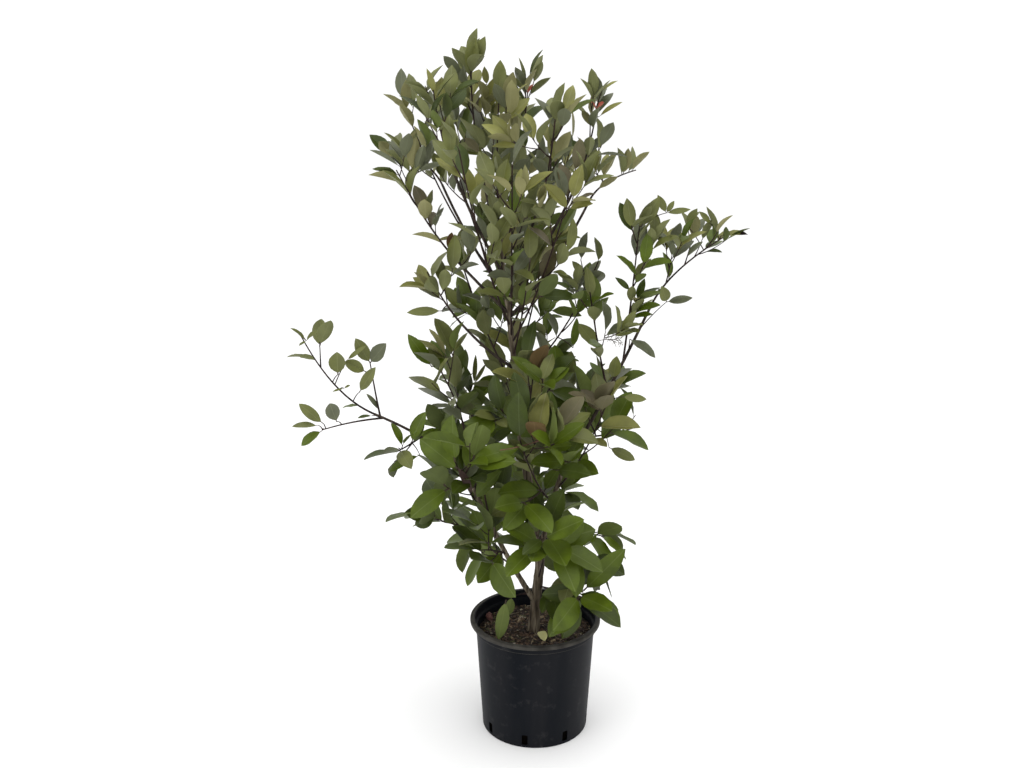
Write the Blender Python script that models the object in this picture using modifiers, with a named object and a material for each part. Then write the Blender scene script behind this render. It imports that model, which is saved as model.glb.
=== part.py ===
"""A potted photinia: an evergreen shrub, about 1.56 m high, in a black 300 mm nursery pot.

The pot stands on its flat underside with the origin at the middle of it, +Z up. The trunk leans
a little and carries two lower stems and a fan of boughs. Each mass of foliage grows by one seeded
rule from a stem of its own: side twigs by the golden angle, leaves by the golden angle along them.
Lengths are in metres.
"""
import math
import random
from collections import namedtuple

import bmesh
import bpy
from mathutils import Matrix, Vector
from mathutils.bvhtree import BVHTree

NAME = "potted_photinia"
FIT_GAP = 0.0003  # left between pieces that touch

# The pot
POT_RIM_RADIUS = 0.150
POT_HEIGHT = 0.270
POT_BASE_RADIUS = 0.122
POT_NECK_RADIUS = 0.1364  # under the rim
POT_WALL = 0.003
POT_FLOOR = 0.004
RIM_LIP_HEIGHT = 0.009
RIM_SKIRT_HEIGHT = 0.013
RIM_FOOT = POT_HEIGHT - RIM_LIP_HEIGHT
SKIRT_FOOT = RIM_FOOT - RIM_SKIRT_HEIGHT
RIM_SKIRT_OUT = 0.005
RIM_ROUND = 0.002
POT_FOOT_ROUND = 0.003
POT_SEGMENTS = 36
DRAIN_SLOTS = 8
DRAIN_SLOT_WIDTH = 0.014
DRAIN_SLOT_FOOT = 0.007
DRAIN_SLOT_HEIGHT = 0.026
DRAIN_SLOT_DEPTH = 0.030  # of the cutter, half of it inside the pot
DRAIN_SLOT_TURN = math.radians(-11.6)  # of the first slot from the front

# The soil, and the lowest that a leaf may hang over it
SOIL_TOP = 0.235
LEAF_FLOOR = SOIL_TOP + 0.004

# The trunk, from a flat cut at the soil to its tip
TRUNK_FOOT = SOIL_TOP + FIT_GAP
TRUNK_COURSE = (
    (-0.004, 0.0, 0.233), (0.005, 0.0, 0.350), (0.010, 0.0, 0.412), (0.001, 0.0, 0.509),
    (-0.018, 0.0, 0.612), (-0.043, 0.0, 0.770), (-0.049, 0.0, 0.873), (-0.060, 0.0, 0.983),
    (-0.073, 0.0, 1.099), (-0.080, 0.0, 1.177),
)
TRUNK_RADII = (0.0122, 0.0040)
ROOT_FLARE = 0.0035
ROOT_FLARE_HEIGHT = 0.030

# A limb leaves its carrier at a share of the carrier's length and bows out on the way to its tip.
# A limb with share 1 goes on from its carrier's tip. Places and radii are in metres.
Limb = namedtuple("Limb", "name carrier share tip bow foot_radius tip_radius")
LIMBS = (
    Limb("left_stem", "trunk", 0.075, (-0.139, -0.060, 0.612), 0.03, 0.0065, 0.0042),
    Limb("right_stem", "trunk", 0.2, (0.081, -0.050, 0.694), -0.1, 0.0062, 0.0045),
    Limb("bough_left_arm", "left_stem", 1, (-0.348, -0.070, 0.783), 0, 0.0036, 0.0026),
    Limb("bough_middle_left", "left_stem", 0.9, (-0.158, -0.030, 0.738), 0.04, 0.0034, 0.0026),
    Limb("bough_waist_left", "trunk", 0.67, (-0.164, -0.030, 0.975), 0.05, 0.0034, 0.0026),
    Limb("bough_upper_left", "trunk", 0.8, (-0.167, -0.030, 1.105), 0.01, 0.0036, 0.0026),
    Limb("bough_shoulder_left", "trunk", 0.84, (-0.206, 0.050, 1.266), 0.05, 0.0032, 0.0026),
    Limb("bough_top_left", "trunk", 0.885, (-0.182, -0.070, 1.324), 0.04, 0.0034, 0.0026),
    Limb("bough_peak", "trunk", 0.935, (-0.121, 0.045, 1.298), 0.04, 0.0032, 0.0026),
    Limb("bough_top_right_front", "trunk", 0.87, (0.005, -0.080, 1.241), 0.06, 0.0034, 0.0026),
    Limb("bough_top_right", "trunk", 0.83, (0.075, -0.010, 1.252), 0.05, 0.0036, 0.0026),
    Limb("bough_shoulder_right", "trunk", 0.79, (0.113, 0.060, 1.222), 0.06, 0.0034, 0.0026),
    Limb("right_arm", "right_stem", 1, (0.252, -0.005, 1.024), 0, 0.0044, 0.0028),
)

# A mass of foliage: its stem's carrier and tip as for a limb, the bare share of the stem, the
# number of side twigs, their reach, the usual length of a leaf, and the seed of its own growth.
# A limb that carries only its own mass has that mass's name with bough_ before it.
Mass = namedtuple("Mass", "name carrier share tip bow bare twigs reach leaf seed")
MASSES = (
    Mass("left_arm_tip", "bough_left_arm", 1, (-0.493, -0.100, 0.967), 0, 0.25, 2, 0.085, 0.062, 690),
    Mass("left_arm_low", "bough_left_arm", 0.92, (-0.456, -0.100, 0.757), -0.03, 0.45, 1, 0.05, 0.062, 530),
    Mass("left_arm_up", "bough_left_arm", 0.95, (-0.357, -0.040, 0.890), 0.03, 0.25, 2, 0.06, 0.062, 549),
    Mass("left_arm_foot", "bough_left_arm", 0.6, (-0.300, -0.110, 0.711), 0.03, 0.25, 2, 0.06, 0.075, 88),
    Mass("middle_left", "bough_middle_left", 1, (-0.212, -0.040, 0.881), 0, 0.05, 3, 0.095, 0.082, 220),
    Mass("waist_left", "bough_waist_left", 1, (-0.231, -0.040, 1.085), 0, 0.05, 2, 0.085, 0.076, 713),
    Mass("upper_left", "bough_upper_left", 1, (-0.289, -0.050, 1.298), 0, 0.3, 3, 0.075, 0.068, 311),
    Mass("shoulder_left", "bough_shoulder_left", 1, (-0.308, 0.070, 1.337), 0, 0.1, 3, 0.08, 0.066, 137),
    Mass("top_left_outer", "trunk", 0.862, (-0.287, 0.130, 1.426), 0.08, 0.5, 2, 0.08, 0.068, 121),
    Mass("top_left", "bough_top_left", 1, (-0.209, -0.080, 1.458), 0, 0.05, 3, 0.085, 0.068, 397),
    Mass("peak", "bough_peak", 1, (-0.139, 0.030, 1.508), 0, 0.05, 3, 0.085, 0.07, 256),
    Mass("top_centre", "trunk", 1, (-0.080, -0.010, 1.439), 0, 0.1, 3, 0.09, 0.068, 136),
    Mass("top_back", "trunk", 0.905, (-0.017, 0.120, 1.473), 0.06, 0.4, 3, 0.09, 0.066, 668),
    Mass("top_right_front", "bough_top_right_front", 1, (0.033, -0.110, 1.425), 0, 0.05, 3, 0.085, 0.068, 477),
    Mass("top_right", "bough_top_right", 1, (0.121, -0.020, 1.429), 0, 0.15, 3, 0.08, 0.062, 99),
    Mass("shoulder_right", "bough_shoulder_right", 1, (0.211, 0.070, 1.284), 0, 0.05, 3, 0.085, 0.062, 312),
    Mass("crown_front_left", "trunk", 0.77, (-0.155, -0.190, 1.352), 0.06, 0.3, 3, 0.1, 0.07, 124),
    Mass("crown_front", "trunk", 0.745, (-0.053, -0.190, 1.323), 0.06, 0.3, 3, 0.1, 0.07, 51),
    Mass("crown_front_right", "trunk", 0.73, (0.069, -0.160, 1.307), 0.06, 0.35, 3, 0.1, 0.068, 214),
    Mass("crown_back_left", "trunk", 0.815, (-0.197, 0.190, 1.358), 0.06, 0.35, 3, 0.1, 0.068, 501),
    Mass("crown_back", "trunk", 0.72, (-0.065, 0.220, 1.334), 0.06, 0.35, 3, 0.1, 0.068, 542),
    Mass("crown_back_right", "trunk", 0.76, (0.079, 0.180, 1.337), 0.06, 0.35, 3, 0.1, 0.066, 542),
    Mass("waist_front", "trunk", 0.7, (-0.017, -0.120, 1.122), 0.06, 0.3, 2, 0.09, 0.074, 189),
    Mass("waist_right", "trunk", 0.64, (0.130, 0.010, 1.097), 0.1, 0.35, 3, 0.085, 0.062, 650),
    Mass("waist_right_low", "right_arm", 0.42, (0.109, -0.060, 1.047), 0.05, 0.25, 3, 0.08, 0.064, 452),
    Mass("waist_back_left", "trunk", 0.62, (-0.166, 0.150, 1.070), 0.06, 0.3, 3, 0.09, 0.074, 387),
    Mass("waist_back_right", "trunk", 0.66, (0.021, 0.170, 1.105), 0.06, 0.3, 3, 0.09, 0.07, 101),
    Mass("middle_front_left", "left_stem", 0.8, (-0.172, -0.160, 0.707), 0.05, 0.2, 2, 0.1, 0.096, 43),
    Mass("middle_front", "right_stem", 0.5, (-0.037, -0.170, 0.759), 0.08, 0.2, 2, 0.1, 0.092, 37),
    Mass("middle_centre", "trunk", 0.48, (-0.009, -0.090, 0.875), 0.06, 0.2, 3, 0.1, 0.088, 778),
    Mass("middle_right", "right_stem", 0.62, (0.148, -0.110, 0.827), 0.08, 0.15, 3, 0.11, 0.088, 658),
    Mass("middle_right_back", "trunk", 0.42, (0.113, 0.120, 0.792), 0.08, 0.2, 3, 0.11, 0.082, 782),
    Mass("middle_back", "trunk", 0.5, (-0.035, 0.180, 0.858), 0.08, 0.2, 3, 0.11, 0.084, 687),
    Mass("middle_back_left", "left_stem", 0.7, (-0.149, 0.100, 0.797), 0.08, 0.2, 3, 0.11, 0.088, 162),
    Mass("arm_tip", "right_arm", 1, (0.400, 0.015, 1.152), 0, 0.12, 3, 0.09, 0.06, 102),
    Mass("arm_inner", "right_arm", 0.6, (0.210, -0.050, 1.192), 0.04, 0.45, 3, 0.085, 0.064, 695),
    Mass("arm_foot", "right_arm", 0.12, (0.220, 0.040, 0.715), 0.03, 0.3, 2, 0.08, 0.074, 271),
    Mass("low_left", "left_stem", 0.62, (-0.260, -0.060, 0.551), 0.02, 0.35, 2, 0.08, 0.092, 721),
    Mass("low_front_left", "left_stem", 0.45, (-0.119, -0.110, 0.485), -0.03, 0.25, 2, 0.09, 0.092, 786),
    Mass("low_centre", "trunk", 0.14, (0.024, -0.140, 0.550), 0.05, 0.3, 2, 0.1, 0.1, 369),
    Mass("low_right", "right_stem", 0.35, (0.155, 0.000, 0.470), 0.05, 0.3, 2, 0.095, 0.09, 359),
    Mass("low_right_front", "trunk", 0.12, (0.105, -0.080, 0.370), 0.02, 0.5, 2, 0.08, 0.105, 169),
    Mass("low_back", "trunk", 0.28, (0.004, 0.160, 0.494), 0.05, 0.25, 3, 0.105, 0.096, 302),
    Mass("low_back_left", "left_stem", 0.35, (-0.143, 0.100, 0.442), 0.05, 0.3, 2, 0.1, 0.096, 209),
)

# How twigs and leaves sit
GOLDEN_ANGLE = math.radians(137.5)
TWIG_SPREAD = math.radians(42)
TWIG_SPREAD_VARIES = 0.2
TWIG_BARE = 0.30
TWIG_TOP = 0.88  # the share of a stem above which no twig sits
TWIG_LENGTHS = (1.15, 0.65)  # at a stem's foot and at its tip, as shares of the reach
TWIG_LENGTH_VARIES = (0.75, 1.0)
PLACE_VARIES = (0.2, 0.8)  # where in its own part of a shoot a twig or a leaf sits
LEAD_ON = 0.4  # how much of its length a limb follows the one it goes on from
LEAF_STEP = 1.10  # along a twig from one leaf to the next, as a share of the leaf's length
LEAF_SPREAD = (math.radians(42), math.radians(72))
END_LEAF_SPREAD = (math.radians(8), math.radians(30))
END_LEAF_SHARES = (0.86, 1.0)
RISE_HEIGHTS = (0.5, 1.2)
TWIG_RISES = (0.15, 0.45)
LEAF_RISES = (0.0, 0.45)
LEAF_TURN = 0.6
LEAF_SIZES = (1.00, 1.25)
LEAF_WIDTHS = (0.46, 0.52)
LEAF_WIDEST = 0.45
LEAF_THICKNESS = 0.0014
LEAF_FOLD = 0.10
LEAF_ROOT_DEPTH = 0.0002
TRIES = 8

# How thick stems and twigs are, and how far apart twigs and leaves of different masses stay
STEM_RADII = (0.0024, 0.0021)
TWIG_RADII = (0.0021, 0.0019)
TOUCH_MARGIN = 0.0008
BUD_SHARE = 0.1  # of a leaf's length, next to its twig, where it may lie close to other leaves

# How far a limb starts inside its carrier, before it is cut back to it
FOOT_SINK = 0.001

# How finely the courses are divided, and how many sides a tube has
TRUNK_PIECES = 2
LIMB_PIECES = 5
STEM_PIECES = 3
CAGE_SIDES = 4
TRUNK_SIDES = 8
LIMB_SIDES = 6

# Points closer than this are one
MERGE = 1e-6

# The solver that fuses a mass of closed leaves and twigs in seconds
SOLVER = "MANIFOLD"

COLOURS = {
    "pot": ((0.022, 0.023, 0.026, 1.0), 0.48),
    "soil": ((0.060, 0.036, 0.022, 1.0), 0.95),
    "bark": ((0.125, 0.095, 0.070, 1.0), 0.85),
    "leaf": ((0.070, 0.130, 0.035, 1.0), 0.45),
}

UP = Vector((0, 0, 1))


def clear_scene():
    for thing in list(bpy.data.objects):
        bpy.data.objects.remove(thing)


def new_collection(name):
    collection = bpy.data.collections.new(name)
    bpy.context.scene.collection.children.link(collection)
    return collection


def new_material(name, finish):
    colour, roughness = COLOURS[finish]
    material = bpy.data.materials.new(name)
    material.use_nodes = True
    shader = material.node_tree.nodes["Principled BSDF"]
    shader.inputs["Base Color"].default_value = colour
    shader.inputs["Roughness"].default_value = roughness
    shader.inputs["Metallic"].default_value = 0.0
    return material


def new_object(name, mesh, collection):
    thing = bpy.data.objects.new(name, mesh)
    collection.objects.link(thing)
    return thing


def finish_piece(thing, finish):
    """Give a piece its own material."""
    thing.data.materials.clear()
    thing.data.materials.append(new_material(thing.name, finish))


# Lines

def bend(foot, pull, tip, pieces):
    """Points of a line that leaves its foot towards pull and comes from pull to its tip."""
    shares = [n / pieces for n in range(pieces + 1)]
    return [foot.lerp(pull, t).lerp(pull.lerp(tip, t), t) for t in shares]


def smooth_course(course, pieces):
    """Points of a line that runs through every stop of a course and turns evenly between them."""
    stops = [Vector(stop) for stop in course]
    stops = [2 * stops[0] - stops[1], *stops, 2 * stops[-1] - stops[-2]]
    line = []
    for before, here, there, after in zip(stops, stops[1:], stops[2:], stops[3:]):
        lead, bowed = there - before, 2 * before - 5 * here + 4 * there - after
        rest = 3 * here - before - 3 * there + after
        for n in range(pieces):
            t = n / pieces
            line.append(here + (lead * t + bowed * t**2 + rest * t**3) / 2)
    return [*line, stops[-2]]


def length_of(line):
    return sum((there - here).length for here, there in zip(line, line[1:]))


def along_line(line, share):
    """The point at a share of a line's length, and the line's direction there."""
    left = share * length_of(line)
    for here, there in zip(line, line[1:]):
        step = (there - here).length
        if left <= step:
            break
        left -= step
    direction = (there - here).normalized()
    return here + direction * min(left, step), direction


def distance_to(line, point):
    """How far a point lies from a line."""
    nearest = []
    for here, there in zip(line, line[1:]):
        run = there - here
        t = max(0.0, min(1.0, (point - here).dot(run) / run.length_squared))
        nearest.append((here + run * t - point).length)
    return min(nearest)


def tapered(radii, line):
    """A radius for each point of a line, from its foot to its tip."""
    return [radii[0] + (radii[1] - radii[0]) * n / (len(line) - 1) for n in range(len(line))]


def trunk_radii(line):
    """The trunk's radii, with the flare at its root."""
    foot = line[0].z
    flare = [ROOT_FLARE * math.exp(-(point.z - foot) / ROOT_FLARE_HEIGHT) for point in line]
    return [radius + extra for radius, extra in zip(tapered(TRUNK_RADII, line), flare)]


def carried_line(limb, lines, pieces):
    """The line of a limb, or of a mass's stem, from its carrier to its tip."""
    foot, lead = along_line(lines[limb.carrier], limb.share)
    tip = Vector(limb.tip)
    way = tip - foot
    if limb.share == 1:
        foot = foot - lead * FOOT_SINK
        pull = foot + lead * way.length * LEAD_ON
    else:
        out_and_down = (way * way.z / way.length_squared - UP / way.length).normalized()
        pull = foot + way / 2 + out_and_down * 2 * limb.bow * way.length
    return bend(foot, pull, tip, pieces)


# Twigs and leaves

Leaf = namedtuple("Leaf", "root along face length width")

# A leaf is a double pyramid on its side. Each corner of that goes to a place on the leaf: how far
# along it, to which side, and how far towards its face. The root is an upright edge in the twig,
# the upper side is folded along its middle, and the lower side has a keel.
LEAF_CORNERS = {
    (1, 0, 0): (0.0, 0.0, 0.5), (-1, 0, 0): (0.0, 0.0, -0.5), (0, 1, 0): (1.0, 0.0, 0.0),
    (0, 0, 1): (LEAF_WIDEST, 0.5, 0.0), (0, 0, -1): (LEAF_WIDEST, -0.5, 0.0),
}
LEAF_FACES = [(end, *pair) for end in (3, 4) for pair in ((0, 1), (1, 2), (2, 0))]


def leaf_corner(leaf, corner, margin=0.0, bare=0.0):
    """A corner of a leaf, or of a cage that stands off it by a margin and leaves its root bare."""
    far, wide, high = LEAF_CORNERS[corner]
    side = leaf.face.cross(leaf.along)
    point = leaf.root + leaf.along * leaf.length * max(far, bare)
    point += side * (leaf.width * wide + 2 * margin * wide)
    point += leaf.face * (LEAF_THICKNESS * high + leaf.width * LEAF_FOLD * abs(wide) * 2)
    point += leaf.face * margin * (high > 0) - leaf.face * margin * (high < 0)
    return point + leaf.along * margin * (far == 1)


def leaf_cage(leaf, margin, bare=0.0):
    """Corners and faces that stand off a leaf by a margin and leave its root bare."""
    return [leaf_corner(leaf, corner, margin, bare) for corner in LEAF_CORNERS], LEAF_FACES


def tube_cage(line, radii, margin):
    """Corners and faces of a closed tube that stands off a line's own tube by a margin."""
    corners = []
    for n, (point, radius) in enumerate(zip(line, radii)):
        ahead = (line[min(n + 1, len(line) - 1)] - line[max(n - 1, 0)]).normalized()
        out = ahead.orthogonal().normalized() if n == 0 else (out - ahead * out.dot(ahead)).normalized()
        turns = [Matrix.Rotation(2 * math.pi * k / CAGE_SIDES, 3, ahead) for k in range(CAGE_SIDES)]
        corners += [point + turn @ out * (radius + margin) * math.sqrt(2) for turn in turns]
    last = len(corners) - CAGE_SIDES
    faces = [tuple(range(CAGE_SIDES)), tuple(range(last, len(corners)))]
    for ring in range(len(line) - 1):
        for k in range(CAGE_SIDES):
            here, there = ring * CAGE_SIDES + k, ring * CAGE_SIDES + (k + 1) % CAGE_SIDES
            faces.append((here, there, there + CAGE_SIDES, here + CAGE_SIDES))
    return corners, faces


class Crowd:
    """Everything that has its place, so that the next twig or leaf can keep clear of it."""

    def __init__(self):
        self.bodies = []
        self.stems = {}

    def add(self, owner, cage, inner_cage=None):
        corners, faces = cage
        centre = sum(corners, Vector()) / len(corners)
        size = max((corner - centre).length for corner in corners)
        inner = BVHTree.FromPolygons(*inner_cage) if inner_cage else None
        self.bodies.append((owner, centre, size, BVHTree.FromPolygons(corners, faces), inner))
        return self.bodies[-1]

    def touched_by(self, owner, cage, inner_cage=None, carrier=None):
        """Whether a cage cuts another owner's, or its inner cage cuts an inner one of its own."""
        corners, faces = cage
        centre = sum(corners, Vector()) / len(corners)
        size = max((corner - centre).length for corner in corners)
        tree = BVHTree.FromPolygons(corners, faces)
        inner = BVHTree.FromPolygons(*inner_cage) if inner_cage else None
        for body in self.bodies:
            other, there, reach, other_tree, other_inner = body
            if body is carrier or (there - centre).length > reach + size:
                continue
            if other != owner and tree.overlap(other_tree):
                return True
            if other == owner and inner and other_inner and inner.overlap(other_inner):
                return True
        return False


def rise_at(point, rises):
    """How much shoots and leaves turn to the sky: little low on the shrub, and more at its top."""
    low, high = RISE_HEIGHTS
    share = max(0.0, min(1.0, (point.z - low) / (high - low)))
    return rises[0] + (rises[1] - rises[0]) * share


def fan_out(ahead, roll, spread, rise):
    """A direction that leaves a shoot at an angle, rolled round it and lifted a little."""
    out = Matrix.Rotation(roll, 3, ahead) @ ahead.orthogonal().normalized()
    return (ahead * math.cos(spread) + out * math.sin(spread) + UP * rise).normalized()


def grow_twigs(mass, stem, crowd, rng):
    """The side twigs of a stem by the golden angle, each a line with its place in the crowd."""
    twigs = []
    roll = rng.uniform(0, 2 * math.pi)
    for n in range(mass.twigs):
        share = mass.bare + (TWIG_TOP - mass.bare) * (n + rng.uniform(*PLACE_VARIES)) / mass.twigs
        start, ahead = along_line(stem, share)
        low, high = TWIG_LENGTHS
        size = mass.reach * rng.uniform(*TWIG_LENGTH_VARIES) * (low + (high - low) * share)
        for _ in range(TRIES):
            roll += GOLDEN_ANGLE
            spread = TWIG_SPREAD + rng.uniform(-TWIG_SPREAD_VARIES, TWIG_SPREAD_VARIES)
            end = start + fan_out(ahead, roll, spread, rise_at(start, TWIG_RISES)) * size
            line = [start, end]
            cage = tube_cage(line, tapered(TWIG_RADII, line), TOUCH_MARGIN)
            if end.z > LEAF_FLOOR + mass.leaf and not crowd.touched_by(mass.name, cage):
                twigs.append((line, crowd.add(mass.name, cage, cage)))
                break
    return twigs


def leaf_shares(line, bare, step, rng):
    """Where the leaves sit along a shoot: evenly from its bare part, the last ones at its end."""
    run = END_LEAF_SHARES[0] - bare
    count = round(run * length_of(line) / step)
    shares = [bare + run * (n + rng.uniform(*PLACE_VARIES)) / count for n in range(count)]
    return [*shares, *END_LEAF_SHARES]


def grow_leaves(mass, stem, shoot, bare, crowd, rng):
    """The leaves of one shoot, by the golden angle, upper faces turned along it and to the sky."""
    leaves = []
    line, carrier = shoot
    roll = rng.uniform(0, 2 * math.pi)
    for share in leaf_shares(line, bare, mass.leaf * LEAF_STEP, rng):
        start, ahead = along_line(line, share)
        size = mass.leaf * rng.uniform(*LEAF_SIZES)
        for _ in range(TRIES):
            roll += GOLDEN_ANGLE
            spread = rng.uniform(*(END_LEAF_SPREAD if share == 1 else LEAF_SPREAD))
            along = fan_out(ahead, roll, spread, rise_at(start, LEAF_RISES))
            face = ahead + UP
            face = (face - along * face.dot(along)).normalized()
            face = Matrix.Rotation(rng.uniform(-LEAF_TURN, LEAF_TURN), 3, along) @ face
            root = start - along * LEAF_ROOT_DEPTH
            leaf = Leaf(root, along, face, size, size * rng.uniform(*LEAF_WIDTHS))
            cage = leaf_cage(leaf, TOUCH_MARGIN)
            inner_cage = leaf_cage(leaf, TOUCH_MARGIN / 2, BUD_SHARE)
            end = root + along * size
            if end.z < LEAF_FLOOR or distance_to(stem, end) > mass.reach + mass.leaf:
                continue
            if not crowd.touched_by(mass.name, cage, inner_cage, carrier):
                crowd.add(mass.name, cage, inner_cage)
                leaves.append(leaf)
                break
    return leaves


def grow(mass, stem, crowd):
    """The side twigs and the leaves of one mass, the same on each run."""
    rng = random.Random(mass.seed)
    twigs = grow_twigs(mass, stem, crowd, rng)
    leaves = grow_leaves(mass, stem, (stem, crowd.stems[mass.name]), mass.bare, crowd, rng)
    for twig in twigs:
        leaves += grow_leaves(mass, stem, twig, TWIG_BARE, crowd, rng)
    return [line for line, _ in twigs], leaves


def draw_lines():
    """The lines of the trunk, the limbs and the masses' stems, by name."""
    lines = {"trunk": smooth_course(TRUNK_COURSE, TRUNK_PIECES)}
    for limb in LIMBS:
        lines[limb.name] = carried_line(limb, lines, LIMB_PIECES)
    for mass in MASSES:
        lines[mass.name] = carried_line(mass, lines, STEM_PIECES)
    return lines


def draw_radii(lines):
    """The radii along those lines."""
    radii = {"trunk": trunk_radii(lines["trunk"])}
    for limb in LIMBS:
        radii[limb.name] = tapered((limb.foot_radius, limb.tip_radius), lines[limb.name])
    for mass in MASSES:
        radii[mass.name] = tapered(STEM_RADII, lines[mass.name])
    return radii


def first_crowd(lines, radii):
    """The crowd with the trunk, the limbs and all stems in it."""
    crowd = Crowd()
    for name, line in lines.items():
        cage = tube_cage(line, radii[name], TOUCH_MARGIN)
        crowd.stems[name] = crowd.add(name, cage, cage)
    return crowd


# Solids

def mesh_from_curve(curve_object):
    """A closed mesh made from a curve object, which is removed."""
    depsgraph = bpy.context.evaluated_depsgraph_get()
    mesh = bpy.data.meshes.new_from_object(curve_object.evaluated_get(depsgraph))
    mesh.transform(curve_object.matrix_world)
    bm = bmesh.new()
    bm.from_mesh(mesh)
    bmesh.ops.remove_doubles(bm, verts=bm.verts, dist=MERGE)
    bmesh.ops.recalc_face_normals(bm, faces=bm.faces)
    bm.to_mesh(mesh)
    bm.free()
    bpy.data.objects.remove(curve_object)
    return mesh


def tube(name, line, radii, collection, section=None, sides=LIMB_SIDES):
    """A tapering solid limb along a line, round or with the section of another curve."""
    curve = bpy.data.curves.new(name, "CURVE")
    curve.dimensions = "3D"
    curve.use_fill_caps = True
    if section:
        curve.bevel_mode = "OBJECT"
        curve.bevel_object = section
    else:
        curve.bevel_depth = 1.0
        curve.bevel_resolution = (sides - 4) // 2
    spline = curve.splines.new("POLY")
    spline.points.add(len(line) - 1)
    for point, place, radius in zip(spline.points, line, radii):
        point.co = (*place, 1.0)
        point.radius = radius
    return new_object(name, mesh_from_curve(new_object(name, curve, collection)), collection)


def three_sided_section(collection):
    """The outline that twigs are drawn with."""
    curve = bpy.data.curves.new("three_sided_section", "CURVE")
    spline = curve.splines.new("POLY")
    spline.points.add(2)
    spline.use_cyclic_u = True
    for n, point in enumerate(spline.points):
        turn = 2 * math.pi * n / 3
        point.co = (math.cos(turn), math.sin(turn), 0.0, 1.0)
    return hide_guide(new_object("three_sided_section", curve, collection))


def hide_guide(thing):
    thing.hide_render = True
    if thing.type == "MESH":
        thing.display_type = "WIRE"
    return thing


def leaf_solid(leaf, collection):
    """One leaf: a double pyramid on its side, drawn out into a folded blade with a thick root."""
    bm = bmesh.new()
    bmesh.ops.create_uvsphere(bm, u_segments=3, v_segments=2, radius=1.0)
    for vert in bm.verts:
        x, y, z = vert.co
        vert.co = leaf_corner(leaf, (round(x), int(y > 0.5), round(z)))
    mesh = bpy.data.meshes.new("leaf")
    bm.to_mesh(mesh)
    bm.free()
    return new_object("leaf", mesh, collection)


def bake(thing):
    """Apply an object's modifiers."""
    depsgraph = bpy.context.evaluated_depsgraph_get()
    mesh = bpy.data.meshes.new_from_object(thing.evaluated_get(depsgraph))
    thing.modifiers.clear()
    thing.data = mesh


def keep_main_body(thing):
    """Drop loose scraps and sealed hollows: keep the body with the largest volume."""
    bm = bmesh.new()
    bm.from_mesh(thing.data)
    islands, left = [], set(bm.verts)
    while left:
        island, front = set(), [left.pop()]
        while front:
            vert = front.pop()
            island.add(vert)
            for edge in vert.link_edges:
                other = edge.other_vert(vert)
                if other in left:
                    left.discard(other)
                    front.append(other)
        islands.append(island)
    if len(islands) > 1:
        islands.sort(key=island_volume)
        bmesh.ops.delete(bm, geom=[vert for island in islands[:-1] for vert in island], context="VERTS")
        bm.to_mesh(thing.data)
    bm.free()


def island_volume(island):
    faces = {face for vert in island for face in vert.link_faces}
    return abs(sum(face.calc_center_median().dot(face.normal) * face.calc_area() for face in faces))


def cut_flat(thing, height):
    """Cut a limb off level at a height and close the cut."""
    bm = bmesh.new()
    bm.from_mesh(thing.data)
    whole = [*bm.verts, *bm.edges, *bm.faces]
    plane = {"plane_co": (0, 0, height), "plane_no": UP, "clear_inner": True, "dist": MERGE}
    cut = bmesh.ops.bisect_plane(bm, geom=whole, **plane)["geom_cut"]
    rim = [part for part in cut if isinstance(part, bmesh.types.BMEdge)]
    bmesh.ops.contextual_create(bm, geom=rim)
    bmesh.ops.recalc_face_normals(bm, faces=bm.faces)
    bm.to_mesh(thing.data)
    bm.free()


def cut_by(thing, cutter):
    """Cut a limb's foot back to 0.3 mm from the limb that carries it."""
    cut = thing.modifiers.new("foot", "BOOLEAN")
    cut.operation = "DIFFERENCE"
    cut.object = cutter
    bake(thing)
    keep_main_body(thing)


def fuse(thing, pieces):
    """Join a collection's objects to a stem as one body, and remove them."""
    union = thing.modifiers.new("growth", "BOOLEAN")
    union.operation = "UNION"
    union.operand_type = "COLLECTION"
    union.collection = pieces
    union.solver = SOLVER
    bake(thing)
    for piece in list(pieces.objects):
        bpy.data.objects.remove(piece)
    keep_main_body(thing)


# The pot and the soil

def turned_solid(name, outline, collection):
    """A solid turned from an outline of (radius, height) points that runs down its outer side."""
    mesh = bpy.data.meshes.new(name)
    edges = [(n, n + 1) for n in range(len(outline) - 1)]
    mesh.from_pydata([(radius, 0.0, height) for radius, height in outline], edges, [])
    thing = new_object(name, mesh, collection)
    turn = thing.modifiers.new("turn", "SCREW")
    turn.steps = turn.render_steps = POT_SEGMENTS
    turn.use_merge_vertices = True
    turn.merge_threshold = MERGE
    turn.use_smooth_shade = True
    return thing


def inner_radius(height):
    """The radius inside the pot's wall at a height."""
    share = (height - POT_FLOOR) / (SKIRT_FOOT - POT_FLOOR)
    return POT_BASE_RADIUS - POT_WALL + (POT_NECK_RADIUS - POT_BASE_RADIUS) * share


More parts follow.
